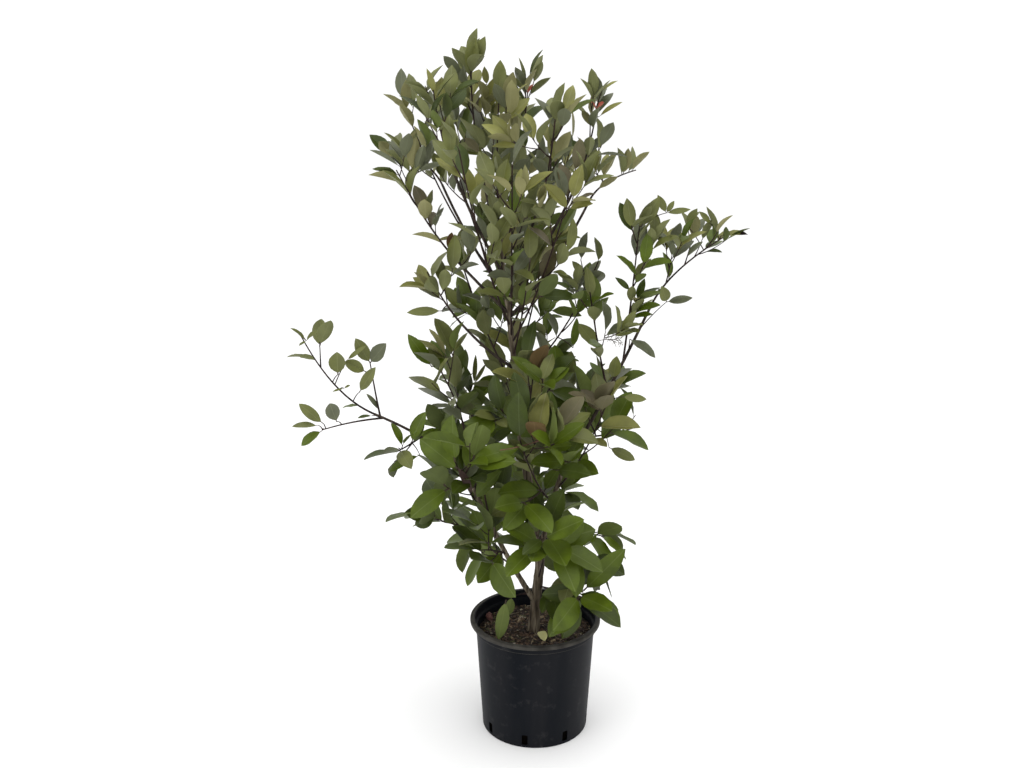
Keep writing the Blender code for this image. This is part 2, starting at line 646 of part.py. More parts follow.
def make_pot(collection, cutters):
    skirt_radius = POT_NECK_RADIUS + RIM_SKIRT_OUT
    outline = [
        (0.0, POT_FLOOR), (inner_radius(POT_FLOOR), POT_FLOOR), (inner_radius(SKIRT_FOOT), SKIRT_FOOT),
        (skirt_radius - POT_WALL, SKIRT_FOOT + POT_WALL), (skirt_radius - POT_WALL, POT_HEIGHT),
        (POT_RIM_RADIUS - RIM_ROUND, POT_HEIGHT), (POT_RIM_RADIUS, POT_HEIGHT - RIM_ROUND),
        (POT_RIM_RADIUS, RIM_FOOT), (skirt_radius, RIM_FOOT), (skirt_radius, SKIRT_FOOT),
        (POT_NECK_RADIUS, SKIRT_FOOT), (POT_BASE_RADIUS, POT_FOOT_ROUND),
        (POT_BASE_RADIUS - POT_FOOT_ROUND, 0.0), (0.0, 0.0),
    ]
    pot = turned_solid("pot", outline, collection)
    for n in range(DRAIN_SLOTS):
        turn = DRAIN_SLOT_TURN + n * 2 * math.pi / DRAIN_SLOTS
        bpy.ops.mesh.primitive_cube_add(size=1.0)
        slot = bpy.context.object
        slot.name = f"drain_slot_{n + 1}"
        slot.scale = (DRAIN_SLOT_WIDTH, DRAIN_SLOT_DEPTH, DRAIN_SLOT_HEIGHT)
        height = DRAIN_SLOT_FOOT + DRAIN_SLOT_HEIGHT / 2
        slot.location = (POT_BASE_RADIUS * math.sin(turn), -POT_BASE_RADIUS * math.cos(turn), height)
        slot.rotation_euler.z = turn
        bpy.context.collection.objects.unlink(slot)
        cutters.objects.link(hide_guide(slot))
        cut = pot.modifiers.new(slot.name, "BOOLEAN")
        cut.object = slot
    finish_piece(pot, "pot")


def make_soil(collection):
    floor = POT_FLOOR + FIT_GAP
    outline = [
        (0.0, SOIL_TOP), (inner_radius(SOIL_TOP) - FIT_GAP, SOIL_TOP),
        (inner_radius(floor) - FIT_GAP, floor), (0.0, floor),
    ]
    finish_piece(turned_solid("soil", outline, collection), "soil")


# The plant

def make_clearance(limb, line, radii, cutters, sides):
    """A cutter that stands 0.3 mm off a limb, past its tip too."""
    longer = [*line, line[-1] + (line[-1] - line[-2]).normalized() * FIT_GAP]
    wider = [radius + FIT_GAP for radius in (*radii, radii[-1])]
    hide_guide(tube(limb.name + "_clearance", longer, wider, cutters, sides=sides))


def make_limbs(lines, radii, collection, cutters):
    """The trunk, the stems and the boughs, each cut clear of its carrier, and a cutter of each."""
    carriers = {limb.name: limb.carrier for limb in LIMBS}
    for name in ["trunk", *carriers]:
        sides = TRUNK_SIDES if name == "trunk" else LIMB_SIDES
        limb = tube(name, lines[name], radii[name], collection, sides=sides)
        if name in carriers:
            cut_by(limb, cutters.objects[carriers[name] + "_clearance"])
        else:
            cut_flat(limb, TRUNK_FOOT)
        limb.data.shade_smooth()
        finish_piece(limb, "bark")
        make_clearance(limb, lines[name], radii[name], cutters, sides)


def make_foliage(lines, radii, collection, cutters):
    """Each mass as one solid: its stem, its twigs and its leaves."""
    section = three_sided_section(cutters)
    growth = new_collection("growth")
    crowd = first_crowd(lines, radii)
    for mass in MASSES:
        line = lines[mass.name]
        stem = tube("foliage_" + mass.name, line, radii[mass.name], collection, section)
        cut_by(stem, cutters.objects[mass.carrier + "_clearance"])
        twigs, leaves = grow(mass, line, crowd)
        for twig in twigs:
            tube("twig", twig, tapered(TWIG_RADII, twig), growth, section)
        for leaf in leaves:
            leaf_solid(leaf, growth)
        fuse(stem, growth)
        finish_piece(stem, "leaf")
    bpy.data.collections.remove(growth)


def main():
    clear_scene()
    collection = new_collection(NAME)
    cutters = new_collection("cutters")
    make_pot(collection, cutters)
    make_soil(collection)
    lines = draw_lines()
    radii = draw_radii(lines)
    make_limbs(lines, radii, collection, cutters)
    make_foliage(lines, radii, collection, cutters)


if __name__ == "__main__":
    main()
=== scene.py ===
# %% [markdown]
# # A potted photinia
# This lesson dresses the solid model of a garden shrub: a photinia about 1.56 m high in a black
# 300 mm nursery pot. The solids give every size and place. Here they get bark, real leaves, a
# moulded pot and a bed of potting mix, each made with a few of Blender's own operators.

# %% Load the solid model
import math
import random
from collections import namedtuple

import bmesh
import bpy
import numpy as np
from mathutils import Matrix, Vector, noise
from mathutils.bvhtree import BVHTree


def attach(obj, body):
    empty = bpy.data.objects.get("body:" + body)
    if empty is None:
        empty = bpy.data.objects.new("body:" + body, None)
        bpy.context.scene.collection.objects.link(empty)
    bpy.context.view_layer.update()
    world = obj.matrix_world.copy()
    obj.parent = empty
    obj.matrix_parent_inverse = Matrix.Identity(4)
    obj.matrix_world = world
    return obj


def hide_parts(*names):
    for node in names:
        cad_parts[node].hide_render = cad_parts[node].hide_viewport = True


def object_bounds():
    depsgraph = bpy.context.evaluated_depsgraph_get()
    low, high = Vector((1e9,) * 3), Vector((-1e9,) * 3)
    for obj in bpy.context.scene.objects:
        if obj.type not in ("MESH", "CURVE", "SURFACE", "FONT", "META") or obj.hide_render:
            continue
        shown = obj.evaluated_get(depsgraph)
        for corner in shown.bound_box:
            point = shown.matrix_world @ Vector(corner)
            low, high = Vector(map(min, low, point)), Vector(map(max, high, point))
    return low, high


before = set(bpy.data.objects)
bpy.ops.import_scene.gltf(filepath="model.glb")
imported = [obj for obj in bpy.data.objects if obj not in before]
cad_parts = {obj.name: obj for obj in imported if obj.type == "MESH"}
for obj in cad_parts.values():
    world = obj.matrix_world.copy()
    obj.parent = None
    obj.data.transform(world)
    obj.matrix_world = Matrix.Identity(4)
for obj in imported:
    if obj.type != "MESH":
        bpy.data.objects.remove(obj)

cad_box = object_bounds()
print(len(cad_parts), "solids, box", [[round(c, 3) for c in corner] for corner in cad_box])

# %% [markdown]
# ## The camera
# The pot's rim and base show as two ellipses, and their widths and heights fix where the camera
# stood: 2.57 m in front and 1.59 m up, looking 16.4 degrees down. A camera could also be aimed by
# a constraint, but plain numbers are easier to check against the photograph.

# %% Camera
CAMERA_PLACE, CAMERA_PITCH = (-0.0534, -2.5686, 1.5851), math.radians(-16.4)
LENS, SENSOR_WIDTH = 43.14, 36.0  # in millimetres
camera_data = bpy.data.cameras.new("camera")
camera_data.sensor_width, camera_data.lens = SENSOR_WIDTH, LENS
camera = bpy.data.objects.new("camera", camera_data)
camera.location = CAMERA_PLACE
camera.rotation_euler = (math.radians(90) + CAMERA_PITCH, 0, 0)
bpy.context.scene.collection.objects.link(camera)
bpy.context.scene.camera = camera
print("camera at", CAMERA_PLACE, "sees", round(math.degrees(camera_data.angle), 1), "degrees across")

# %% [markdown]
# ## Floor and light
# The photograph was taken under an even, cloudy sky and then cut out on white. A pale floor and
# large, soft lamps come close to that: leaves shade each other gently and no hard shadow falls.
# The sky itself is a plain white world, which also gives the leaves their pale sheen. Blender's
# own film look would turn the white floor grey, so the plain display transform is chosen instead.

# %% Floor
FLOOR_REACH, FLOOR_GREY = 40.0, 0.92
floor_mesh = bmesh.new()
bmesh.ops.create_grid(floor_mesh, x_segments=1, y_segments=1, size=FLOOR_REACH)
floor_data = bpy.data.meshes.new("floor")
floor_mesh.to_mesh(floor_data)
floor_mesh.free()
floor = bpy.data.objects.new("floor", floor_data)
bpy.context.scene.collection.objects.link(floor)
floor_finish = bpy.data.materials.new("pale floor")
floor_finish.use_nodes = True
floor_shader = floor_finish.node_tree.nodes["Principled BSDF"]
floor_shader.inputs["Base Color"].default_value = (FLOOR_GREY, FLOOR_GREY, FLOOR_GREY, 1.0)
floor_shader.inputs["Roughness"].default_value = 0.9
floor_shader.inputs["Specular IOR Level"].default_value = 0.1
floor.data.materials.append(floor_finish)
print("floor", FLOOR_REACH * 2, "m across")

# %% Light
SKY = 1.12
LAMP_AIM = Vector((0, 0, 0.8))
LAMPS = {  # place, size in metres, power in watts
    "overhead": ((0.3, -0.6, 4.2), 4.0, 60.0),
    "left_front": ((-3.2, -2.8, 2.6), 2.6, 30.0),
}
world = bpy.data.worlds.new("cloudy sky")
world.use_nodes = True
world.node_tree.nodes["Background"].inputs["Color"].default_value = (1.0, 1.0, 1.0, 1.0)
world.node_tree.nodes["Background"].inputs["Strength"].default_value = SKY
bpy.context.scene.world = world
bpy.context.scene.view_settings.view_transform = "Standard"
for name, (place, size, power) in LAMPS.items():
    lamp_data = bpy.data.lights.new(name, "AREA")
    lamp_data.shape, lamp_data.size, lamp_data.energy = "DISK", size, power
    lamp = bpy.data.objects.new(name, lamp_data)
    lamp.location = place
    lamp.rotation_euler = (LAMP_AIM - Vector(place)).to_track_quat("-Z", "Y").to_euler()
    bpy.context.scene.collection.objects.link(lamp)
print(len(LAMPS), "soft lamps under a white sky")

# %% [markdown]
# ## The limbs as rows of numbers
# On the real shrub the trunk carries two lower stems and a fan of boughs, and every one of them
# tapers from the limb that bears it. They could be drawn by hand, point by point, but then each
# change would mean drawing again. Here a limb is one row: what carries it, at which share of the
# carrier's length it leaves, where its tip is, how far it bows, and its two radii. These are the
# rows of the solid model, so the finer limbs lie where its solids are.

# %% Rows of the trunk and its limbs
TRUNK_COURSE = (
    (-0.004, 0.0, 0.233), (0.005, 0.0, 0.350), (0.010, 0.0, 0.412), (0.001, 0.0, 0.509),
    (-0.018, 0.0, 0.612), (-0.043, 0.0, 0.770), (-0.049, 0.0, 0.873), (-0.060, 0.0, 0.983),
    (-0.073, 0.0, 1.099), (-0.080, 0.0, 1.177),
)
TRUNK_RADII = (0.0122, 0.0040)
ROOT_FLARE, ROOT_FLARE_HEIGHT = 0.0035, 0.030
Limb = namedtuple("Limb", "name carrier share tip bow foot_radius tip_radius")
LIMBS = (
    Limb("left_stem", "trunk", 0.075, (-0.139, -0.060, 0.612), 0.03, 0.0065, 0.0042),
    Limb("right_stem", "trunk", 0.2, (0.081, -0.050, 0.694), -0.1, 0.0062, 0.0045),
    Limb("bough_left_arm", "left_stem", 1, (-0.348, -0.070, 0.783), 0, 0.0036, 0.0026),
    Limb("bough_middle_left", "left_stem", 0.9, (-0.158, -0.030, 0.738), 0.04, 0.0034, 0.0026),
    Limb("bough_waist_left", "trunk", 0.67, (-0.164, -0.030, 0.975), 0.05, 0.0034, 0.0026),
    Limb("bough_upper_left", "trunk", 0.8, (-0.167, -0.030, 1.105), 0.01, 0.0036, 0.0026),
    Limb("bough_shoulder_left", "trunk", 0.84, (-0.206, 0.050, 1.266), 0.05, 0.0032, 0.0026),
    Limb("bough_top_left", "trunk", 0.885, (-0.182, -0.070, 1.324), 0.04, 0.0034, 0.0026),
    Limb("bough_peak", "trunk", 0.935, (-0.121, 0.045, 1.298), 0.04, 0.0032, 0.0026),
    Limb("bough_top_right_front", "trunk", 0.87, (0.005, -0.080, 1.241), 0.06, 0.0034, 0.0026),
    Limb("bough_top_right", "trunk", 0.83, (0.075, -0.010, 1.252), 0.05, 0.0036, 0.0026),
    Limb("bough_shoulder_right", "trunk", 0.79, (0.113, 0.060, 1.222), 0.06, 0.0034, 0.0026),
    Limb("right_arm", "right_stem", 1, (0.252, -0.005, 1.024), 0, 0.0044, 0.0028),
)
print(len(LIMBS), "limbs leave the trunk or each other")

# %% [markdown]
# ## The masses of foliage as rows of numbers
# A mass is what grows from one stem: its side twigs and all their leaves. A crown could be filled
# with leaves at random, but real leaves sit on twigs, and the eye sees at once when they don't. So
# each mass has a stem, a number of twigs, a reach, the usual length of its leaves and a seed of its
# own. Two more tables hold the seeds of what the solids leave out: finer shoots and single leaves.

# %% Rows of the masses
Mass = namedtuple("Mass", "name carrier share tip bow bare twigs reach leaf seed")
MASSES = (
    Mass("left_arm_tip", "bough_left_arm", 1, (-0.493, -0.100, 0.967), 0, 0.25, 2, 0.085, 0.062, 690),
    Mass("left_arm_low", "bough_left_arm", 0.92, (-0.456, -0.100, 0.757), -0.03, 0.45, 1, 0.05, 0.062,
         530),
    Mass("left_arm_up", "bough_left_arm", 0.95, (-0.357, -0.040, 0.890), 0.03, 0.25, 2, 0.06, 0.062,
         549),
    Mass("left_arm_foot", "bough_left_arm", 0.6, (-0.300, -0.110, 0.711), 0.03, 0.25, 2, 0.06, 0.075,
         88),
    Mass("middle_left", "bough_middle_left", 1, (-0.212, -0.040, 0.881), 0, 0.05, 3, 0.095, 0.082, 220),
    Mass("waist_left", "bough_waist_left", 1, (-0.231, -0.040, 1.085), 0, 0.05, 2, 0.085, 0.076, 713),
    Mass("upper_left", "bough_upper_left", 1, (-0.289, -0.050, 1.298), 0, 0.3, 3, 0.075, 0.068, 311),
    Mass("shoulder_left", "bough_shoulder_left", 1, (-0.308, 0.070, 1.337), 0, 0.1, 3, 0.08, 0.066,
         137),
    Mass("top_left_outer", "trunk", 0.862, (-0.287, 0.130, 1.426), 0.08, 0.5, 2, 0.08, 0.068, 121),
    Mass("top_left", "bough_top_left", 1, (-0.209, -0.080, 1.458), 0, 0.05, 3, 0.085, 0.068, 397),
    Mass("peak", "bough_peak", 1, (-0.139, 0.030, 1.508), 0, 0.05, 3, 0.085, 0.07, 256),
    Mass("top_centre", "trunk", 1, (-0.080, -0.010, 1.439), 0, 0.1, 3, 0.09, 0.068, 136),
    Mass("top_back", "trunk", 0.905, (-0.017, 0.120, 1.473), 0.06, 0.4, 3, 0.09, 0.066, 668),
    Mass("top_right_front", "bough_top_right_front", 1, (0.033, -0.110, 1.425), 0, 0.05, 3, 0.085,
         0.068, 477),
    Mass("top_right", "bough_top_right", 1, (0.121, -0.020, 1.429), 0, 0.15, 3, 0.08, 0.062, 99),
    Mass("shoulder_right", "bough_shoulder_right", 1, (0.211, 0.070, 1.284), 0, 0.05, 3, 0.085, 0.062,
         312),
    Mass("crown_front_left", "trunk", 0.77, (-0.155, -0.190, 1.352), 0.06, 0.3, 3, 0.1, 0.07, 124),
    Mass("crown_front", "trunk", 0.745, (-0.053, -0.190, 1.323), 0.06, 0.3, 3, 0.1, 0.07, 51),
    Mass("crown_front_right", "trunk", 0.73, (0.069, -0.160, 1.307), 0.06, 0.35, 3, 0.1, 0.068, 214),
    Mass("crown_back_left", "trunk", 0.815, (-0.197, 0.190, 1.358), 0.06, 0.35, 3, 0.1, 0.068, 501),
    Mass("crown_back", "trunk", 0.72, (-0.065, 0.220, 1.334), 0.06, 0.35, 3, 0.1, 0.068, 542),
    Mass("crown_back_right", "trunk", 0.76, (0.079, 0.180, 1.337), 0.06, 0.35, 3, 0.1, 0.066, 542),
    Mass("waist_front", "trunk", 0.7, (-0.017, -0.120, 1.122), 0.06, 0.3, 2, 0.09, 0.074, 189),
    Mass("waist_right", "trunk", 0.64, (0.130, 0.010, 1.097), 0.1, 0.35, 3, 0.085, 0.062, 650),
    Mass("waist_right_low", "right_arm", 0.42, (0.109, -0.060, 1.047), 0.05, 0.25, 3, 0.08, 0.064, 452),
    Mass("waist_back_left", "trunk", 0.62, (-0.166, 0.150, 1.070), 0.06, 0.3, 3, 0.09, 0.074, 387),
    Mass("waist_back_right", "trunk", 0.66, (0.021, 0.170, 1.105), 0.06, 0.3, 3, 0.09, 0.07, 101),
    Mass("middle_front_left", "left_stem", 0.8, (-0.172, -0.160, 0.707), 0.05, 0.2, 2, 0.1, 0.096, 43),
    Mass("middle_front", "right_stem", 0.5, (-0.037, -0.170, 0.759), 0.08, 0.2, 2, 0.1, 0.092, 37),
    Mass("middle_centre", "trunk", 0.48, (-0.009, -0.090, 0.875), 0.06, 0.2, 3, 0.1, 0.088, 778),
    Mass("middle_right", "right_stem", 0.62, (0.148, -0.110, 0.827), 0.08, 0.15, 3, 0.11, 0.088, 658),
    Mass("middle_right_back", "trunk", 0.42, (0.113, 0.120, 0.792), 0.08, 0.2, 3, 0.11, 0.082, 782),
    Mass("middle_back", "trunk", 0.5, (-0.035, 0.180, 0.858), 0.08, 0.2, 3, 0.11, 0.084, 687),
    Mass("middle_back_left", "left_stem", 0.7, (-0.149, 0.100, 0.797), 0.08, 0.2, 3, 0.11, 0.088, 162),
    Mass("arm_tip", "right_arm", 1, (0.400, 0.015, 1.152), 0, 0.12, 3, 0.09, 0.06, 102),
    Mass("arm_inner", "right_arm", 0.6, (0.210, -0.050, 1.192), 0.04, 0.45, 3, 0.085, 0.064, 695),
    Mass("arm_foot", "right_arm", 0.12, (0.220, 0.040, 0.715), 0.03, 0.3, 2, 0.08, 0.074, 271),
    Mass("low_left", "left_stem", 0.62, (-0.260, -0.060, 0.551), 0.02, 0.35, 2, 0.08, 0.092, 721),
    Mass("low_front_left", "left_stem", 0.45, (-0.119, -0.110, 0.485), -0.03, 0.25, 2, 0.09, 0.092,
         786),
    Mass("low_centre", "trunk", 0.14, (0.024, -0.140, 0.550), 0.05, 0.3, 2, 0.1, 0.1, 369),
    Mass("low_right", "right_stem", 0.35, (0.155, 0.000, 0.470), 0.05, 0.3, 2, 0.095, 0.09, 359),
    Mass("low_right_front", "trunk", 0.12, (0.105, -0.080, 0.370), 0.02, 0.5, 2, 0.08, 0.105, 169),
    Mass("low_back", "trunk", 0.28, (0.004, 0.160, 0.494), 0.05, 0.25, 3, 0.105, 0.096, 302),
    Mass("low_back_left", "left_stem", 0.35, (-0.143, 0.100, 0.442), 0.05, 0.3, 2, 0.1, 0.096, 209),
)
print(len(MASSES), "masses of foliage")

# %% Seeds of the finer shoots
FINE_SHOOTS = {
    "left_arm_tip": (134, 1166), "left_arm_low": (429, 215), "left_arm_up": (546, 127),
    "left_arm_foot": (1385, 536), "middle_left": (891, 1272), "waist_left": (1218, 565, 1067),
    "upper_left": (1344, 153, 178, 961), "shoulder_left": (1229,), "top_left_outer": (319,),
    "top_left": (540, 225), "peak": (26, 1305, 524, 201), "top_centre": (530, 76, 917, 250),
    "top_back": (176, 492, 1300, 553, 581), "top_right_front": (600, 691, 1291),
    "top_right": (1231, 304), "shoulder_right": (374, 78, 349), "crown_front_left": (567, 176),
    "crown_front": (1216, 660, 266), "crown_front_right": (1029, 466, 1081, 1099),
    "crown_back_left": (1376, 431, 513, 917), "crown_back": (1083, 1257, 547, 1015, 840, 811),
    "crown_back_right": (1138, 126, 633), "waist_front": (555, 453), "waist_right": (126, 1247, 417),
    "waist_right_low": (639, 1182), "waist_back_left": (546, 578, 453),
    "waist_back_right": (94, 378, 1187, 330), "middle_front_left": (716, 995, 1250, 576),
    "middle_front": (932, 421, 555, 1205), "middle_centre": (536, 595, 287),
    "middle_right": (1098, 777, 548), "middle_right_back": (398, 284, 27),
    "middle_back": (1252, 474, 883, 923), "middle_back_left": (166, 43, 203, 1257, 742, 600),
    "arm_tip": (1368, 1203, 1242, 451, 389), "arm_inner": (1056, 319, 520), "arm_foot": (267, 226),
    "low_left": (775, 352, 31), "low_front_left": (1223, 29, 1112), "low_centre": (873, 647, 47),
    "low_right": (1309, 473, 534), "low_right_front": (1247, 1216),
    "low_back": (231, 1034, 441, 588, 885, 181), "low_back_left": (280, 331, 766, 561),
}
print(sum(map(len, FINE_SHOOTS.values())), "seeds of finer shoots")

# %% Seeds of the single leaves
LONE_LEAVES = {
    "left_arm_tip": (520, 616, 1198), "left_arm_low": (1129, 530),
    "left_arm_up": (993, 2197, 1272, 1912), "left_arm_foot": (2435, 493, 1834),
    "middle_left": (1675, 2338, 517, 2555, 1902, 1108), "waist_left": (1879, 2016, 1780, 264),
    "upper_left": (310, 282, 269, 1514), "shoulder_left": (2047,),
    "top_left_outer": (1152, 367, 604, 2304, 1246), "top_left": (277, 1303, 75),
    "peak": (2247, 1899, 2585, 2570, 1987, 22, 2058), "top_centre": (48, 1409),
    "top_back": (2459, 20), "top_right_front": (2421, 1372), "top_right": (2496, 759, 621),
    "shoulder_right": (470, 1260), "crown_front_left": (1587, 153), "crown_front": (1820,),
    "crown_front_right": (228, 1596), "crown_back_left": (2520, 46), "crown_back_right": (1604, 1020),
    "waist_right": (1819, 2078), "waist_right_low": (2266, 1952, 2153),
    "waist_back_left": (2293, 1690, 219, 2180, 2567, 2594), "waist_back_right": (2331,),
    "middle_front_left": (1247, 2187, 1330), "middle_front": (1150, 1561, 2470),
    "middle_centre": (689, 1040, 1114), "middle_right": (2127, 1147),
    "middle_right_back": (1168, 1137), "middle_back": (1274, 1013, 661),
    "middle_back_left": (820, 1410, 1901, 860, 1278), "arm_tip": (2494, 316, 269, 1751, 2003, 959),
    "arm_inner": (367, 1512, 1472, 1195, 57, 2401, 2056, 1480, 2042, 345), "arm_foot": (2000,),
    "low_left": (470,), "low_front_left": (1113, 506, 841, 2479), "low_centre": (940,),
    "low_right": (1993, 1862, 1145), "low_right_front": (2370, 36, 810, 2127, 540),
    "low_back": (334,), "low_back_left": (883,),
}
print(sum(map(len, LONE_LEAVES.values())), "seeds of single leaves")

# %% [markdown]
# ## Lines that bend
# A branch leaves its carrier in one direction and then turns to the light. A curve through a few
# pulled points does that: it starts towards the pull and arrives from it. The trunk is different,
# because it has to run through known places, so it takes a curve that passes through every stop.

# %% Bends, smooth courses and places along them
def bend(foot, pull, tip, pieces):
    """Points from a foot to a tip that start towards a pull and arrive from it."""
    shares = [n / pieces for n in range(pieces + 1)]
    return [foot.lerp(pull, t).lerp(pull.lerp(tip, t), t) for t in shares]


def smooth_course(course, pieces):
    """Points of a smooth line through every stop of a course."""
    stops = [Vector(stop) for stop in course]
    stops = [2 * stops[0] - stops[1], *stops, 2 * stops[-1] - stops[-2]]
    line = []
    for before, here, there, after in zip(stops, stops[1:], stops[2:], stops[3:]):
        lead, bowed = there - before, 2 * before - 5 * here + 4 * there - after
        rest = 3 * here - before - 3 * there + after
        for n in range(pieces):
            t = n / pieces
            line.append(here + (lead * t + bowed * t**2 + rest * t**3) / 2)
    return [*line, stops[-2]]


def length_of(line):
    return sum((there - here).length for here, there in zip(line, line[1:]))


def along_line(line, share):
    """The point at a share of a line's length, and the line's direction there."""
    left = share * length_of(line)
    for here, there in zip(line, line[1:]):
        step = (there - here).length
        if left <= step:
            break
        left -= step
    direction = (there - here).normalized()
    return here + direction * min(left, step), direction


print("the trunk's course runs through", len(TRUNK_COURSE), "stops")

# %% Lines of the limbs
UP = Vector((0, 0, 1))
FOOT_SINK = 0.001  # how far a limb starts inside its carrier
LEAD_ON = 0.4  # how much of its length a limb follows the one it goes on from


def carried_line(limb, lines, pieces):
    """The line of a limb, or of a mass's stem, from its carrier to its tip."""
    foot, lead = along_line(lines[limb.carrier], limb.share)
    tip = Vector(limb.tip)
    way = tip - foot
    if limb.share == 1:
        foot = foot - lead * FOOT_SINK
        pull = foot + lead * way.length * LEAD_ON
    else:
        out_and_down = (way * way.z / way.length_squared - UP / way.length).normalized()
        pull = foot + way / 2 + out_and_down * 2 * limb.bow * way.length
    return bend(foot, pull, tip, pieces)


def draw_lines(trunk_pieces, limb_pieces, stem_pieces):
    """The lines of the trunk, the limbs and the masses' stems, by name."""
    lines = {"trunk": smooth_course(TRUNK_COURSE, trunk_pieces)}
    for limb in LIMBS:
        lines[limb.name] = carried_line(limb, lines, limb_pieces)
    for mass in MASSES:
        lines[mass.name] = carried_line(mass, lines, stem_pieces)
    return lines


coarse_lines = draw_lines(2, 5, 3)
fine_lines = draw_lines(16, 24, 16)
print("trunk", round(length_of(fine_lines["trunk"]), 3), "m long")

# %% [markdown]
# ## Radii
# Wood thins with every branch that it gives off. A straight taper is near enough on limbs this
# short. The trunk's foot also widens into the roots, and a falling exponential gives that flare.

# %% Radii along the lines
STEM_RADII = (0.0024, 0.0021)
TWIG_RADII = (0.0021, 0.0019)


def tapered(radii, line):
    return [radii[0] + (radii[1] - radii[0]) * n / (len(line) - 1) for n in range(len(line))]


def trunk_radii(line):
    foot = line[0].z
    flare = [ROOT_FLARE * math.exp(-(point.z - foot) / ROOT_FLARE_HEIGHT) for point in line]
    return [radius + extra for radius, extra in zip(tapered(TRUNK_RADII, line), flare)]


def draw_radii(lines):
    """The radii along the trunk, the limbs and the masses' stems, by name."""
    radii = {"trunk": trunk_radii(lines["trunk"])}
    for limb in LIMBS:
        radii[limb.name] = tapered((limb.foot_radius, limb.tip_radius), lines[limb.name])
    for mass in MASSES:
        radii[mass.name] = tapered(STEM_RADII, lines[mass.name])
    return radii


print("trunk radius", round(trunk_radii(coarse_lines["trunk"])[0] * 1000, 1), "mm at the soil")

# %% [markdown]
# ## Room for each leaf
# Leaves jostle for light and hardly ever grow through each other. Cutting every crossing apart
# afterwards would be slow and ugly. Instead each new twig or leaf tests a simple cage round itself
# against the cages of what has grown already, and tries another turn round its shoot if it is hit.

# %% Cages
LEAF_WIDEST, LEAF_THICKNESS, LEAF_FOLD = 0.45, 0.0014, 0.10
TOUCH_MARGIN = 0.0008
BUD_SHARE = 0.1  # of a leaf's length, next to its twig, where it may lie close to other leaves
CAGE_SIDES = 4
Leaf = namedtuple("Leaf", "root along face length width share")
LEAF_CORNERS = {
    (1, 0, 0): (0.0, 0.0, 0.5), (-1, 0, 0): (0.0, 0.0, -0.5), (0, 1, 0): (1.0, 0.0, 0.0),
    (0, 0, 1): (LEAF_WIDEST, 0.5, 0.0), (0, 0, -1): (LEAF_WIDEST, -0.5, 0.0),
}
LEAF_FACES = [(end, *pair) for end in (3, 4) for pair in ((0, 1), (1, 2), (2, 0))]


def leaf_corner(leaf, corner, margin, bare):
    """One corner of a leaf's cage, a margin outside the leaf and past its bare foot."""
    far, wide, high = LEAF_CORNERS[corner]
    side = leaf.face.cross(leaf.along)
    point = leaf.root + leaf.along * leaf.length * max(far, bare)
    point += side * (leaf.width * wide + 2 * margin * wide)
    point += leaf.face * (LEAF_THICKNESS * high + leaf.width * LEAF_FOLD * abs(wide) * 2)
    point += leaf.face * margin * (high > 0) - leaf.face * margin * (high < 0)
    return point + leaf.along * margin * (far == 1)


def leaf_cage(leaf, margin, bare=0.0):
    return [leaf_corner(leaf, corner, margin, bare) for corner in LEAF_CORNERS], LEAF_FACES


def tube_cage(line, radii, margin):
    """A square tube round a line, as its corners and faces."""
    corners = []
    for n, (point, radius) in enumerate(zip(line, radii)):
        ahead = (line[min(n + 1, len(line) - 1)] - line[max(n - 1, 0)]).normalized()
        out = ahead.orthogonal().normalized() if n == 0 else (out - ahead * out.dot(ahead)).normalized()
        turns = [Matrix.Rotation(2 * math.pi * k / CAGE_SIDES, 3, ahead) for k in range(CAGE_SIDES)]
        corners += [point + turn @ out * (radius + margin) * math.sqrt(2) for turn in turns]
    last = len(corners) - CAGE_SIDES
    faces = [tuple(range(CAGE_SIDES)), tuple(range(last, len(corners)))]
    for ring in range(len(line) - 1):
        for k in range(CAGE_SIDES):
            here, there = ring * CAGE_SIDES + k, ring * CAGE_SIDES + (k + 1) % CAGE_SIDES
            faces.append((here, there, there + CAGE_SIDES, here + CAGE_SIDES))
    return corners, faces


print(len(LEAF_CORNERS), "corners on the cage of a leaf")

# %% The crowd
class Crowd:
    """Everything that has its place, so that the next twig or leaf can keep clear of it.

    Bodies of one owner may touch near their buds, so only their inner cages are tested.
    """

    def __init__(self):
        self.bodies = []
        self.stems = {}

    def add(self, owner, cage, inner_cage=None):
        corners, faces = cage
        centre = sum(corners, Vector()) / len(corners)
        size = max((corner - centre).length for corner in corners)
        inner = BVHTree.FromPolygons(*inner_cage) if inner_cage else None
        self.bodies.append((owner, centre, size, BVHTree.FromPolygons(corners, faces), inner))
        return self.bodies[-1]

    def touched_by(self, owner, cage, inner_cage=None, carrier=None):
        corners, faces = cage
        centre = sum(corners, Vector()) / len(corners)
        size = max((corner - centre).length for corner in corners)
        tree = BVHTree.FromPolygons(corners, faces)
        inner = BVHTree.FromPolygons(*inner_cage) if inner_cage else None
        for body in self.bodies:
            other, there, reach, other_tree, other_inner = body
            if body is carrier or (there - centre).length > reach + size:
                continue
            if other != owner and tree.overlap(other_tree):
                return True
            if other == owner and inner and other_inner and inner.overlap(other_inner):
                return True
        return False


def first_crowd(lines, radii):
    """A crowd of the trunk, the limbs and the stems."""
    crowd = Crowd()
    for name, line in lines.items():
        cage = tube_cage(line, radii[name], TOUCH_MARGIN)
        crowd.stems[name] = crowd.add(name, cage, cage)
    return crowd


crowd = first_crowd(coarse_lines, draw_radii(coarse_lines))
print(len(crowd.bodies), "limbs and stems have their place")

# %% [markdown]
# ## The rule of growth
# Buds on a photinia's shoot sit on a spiral, each turned about 137.5 degrees from the last, the
# golden angle, which spreads leaves evenly to the light. The same rule with the same seeds grew
# the solids, so it is written here again: it gives the same twigs, and leaves in the same places.

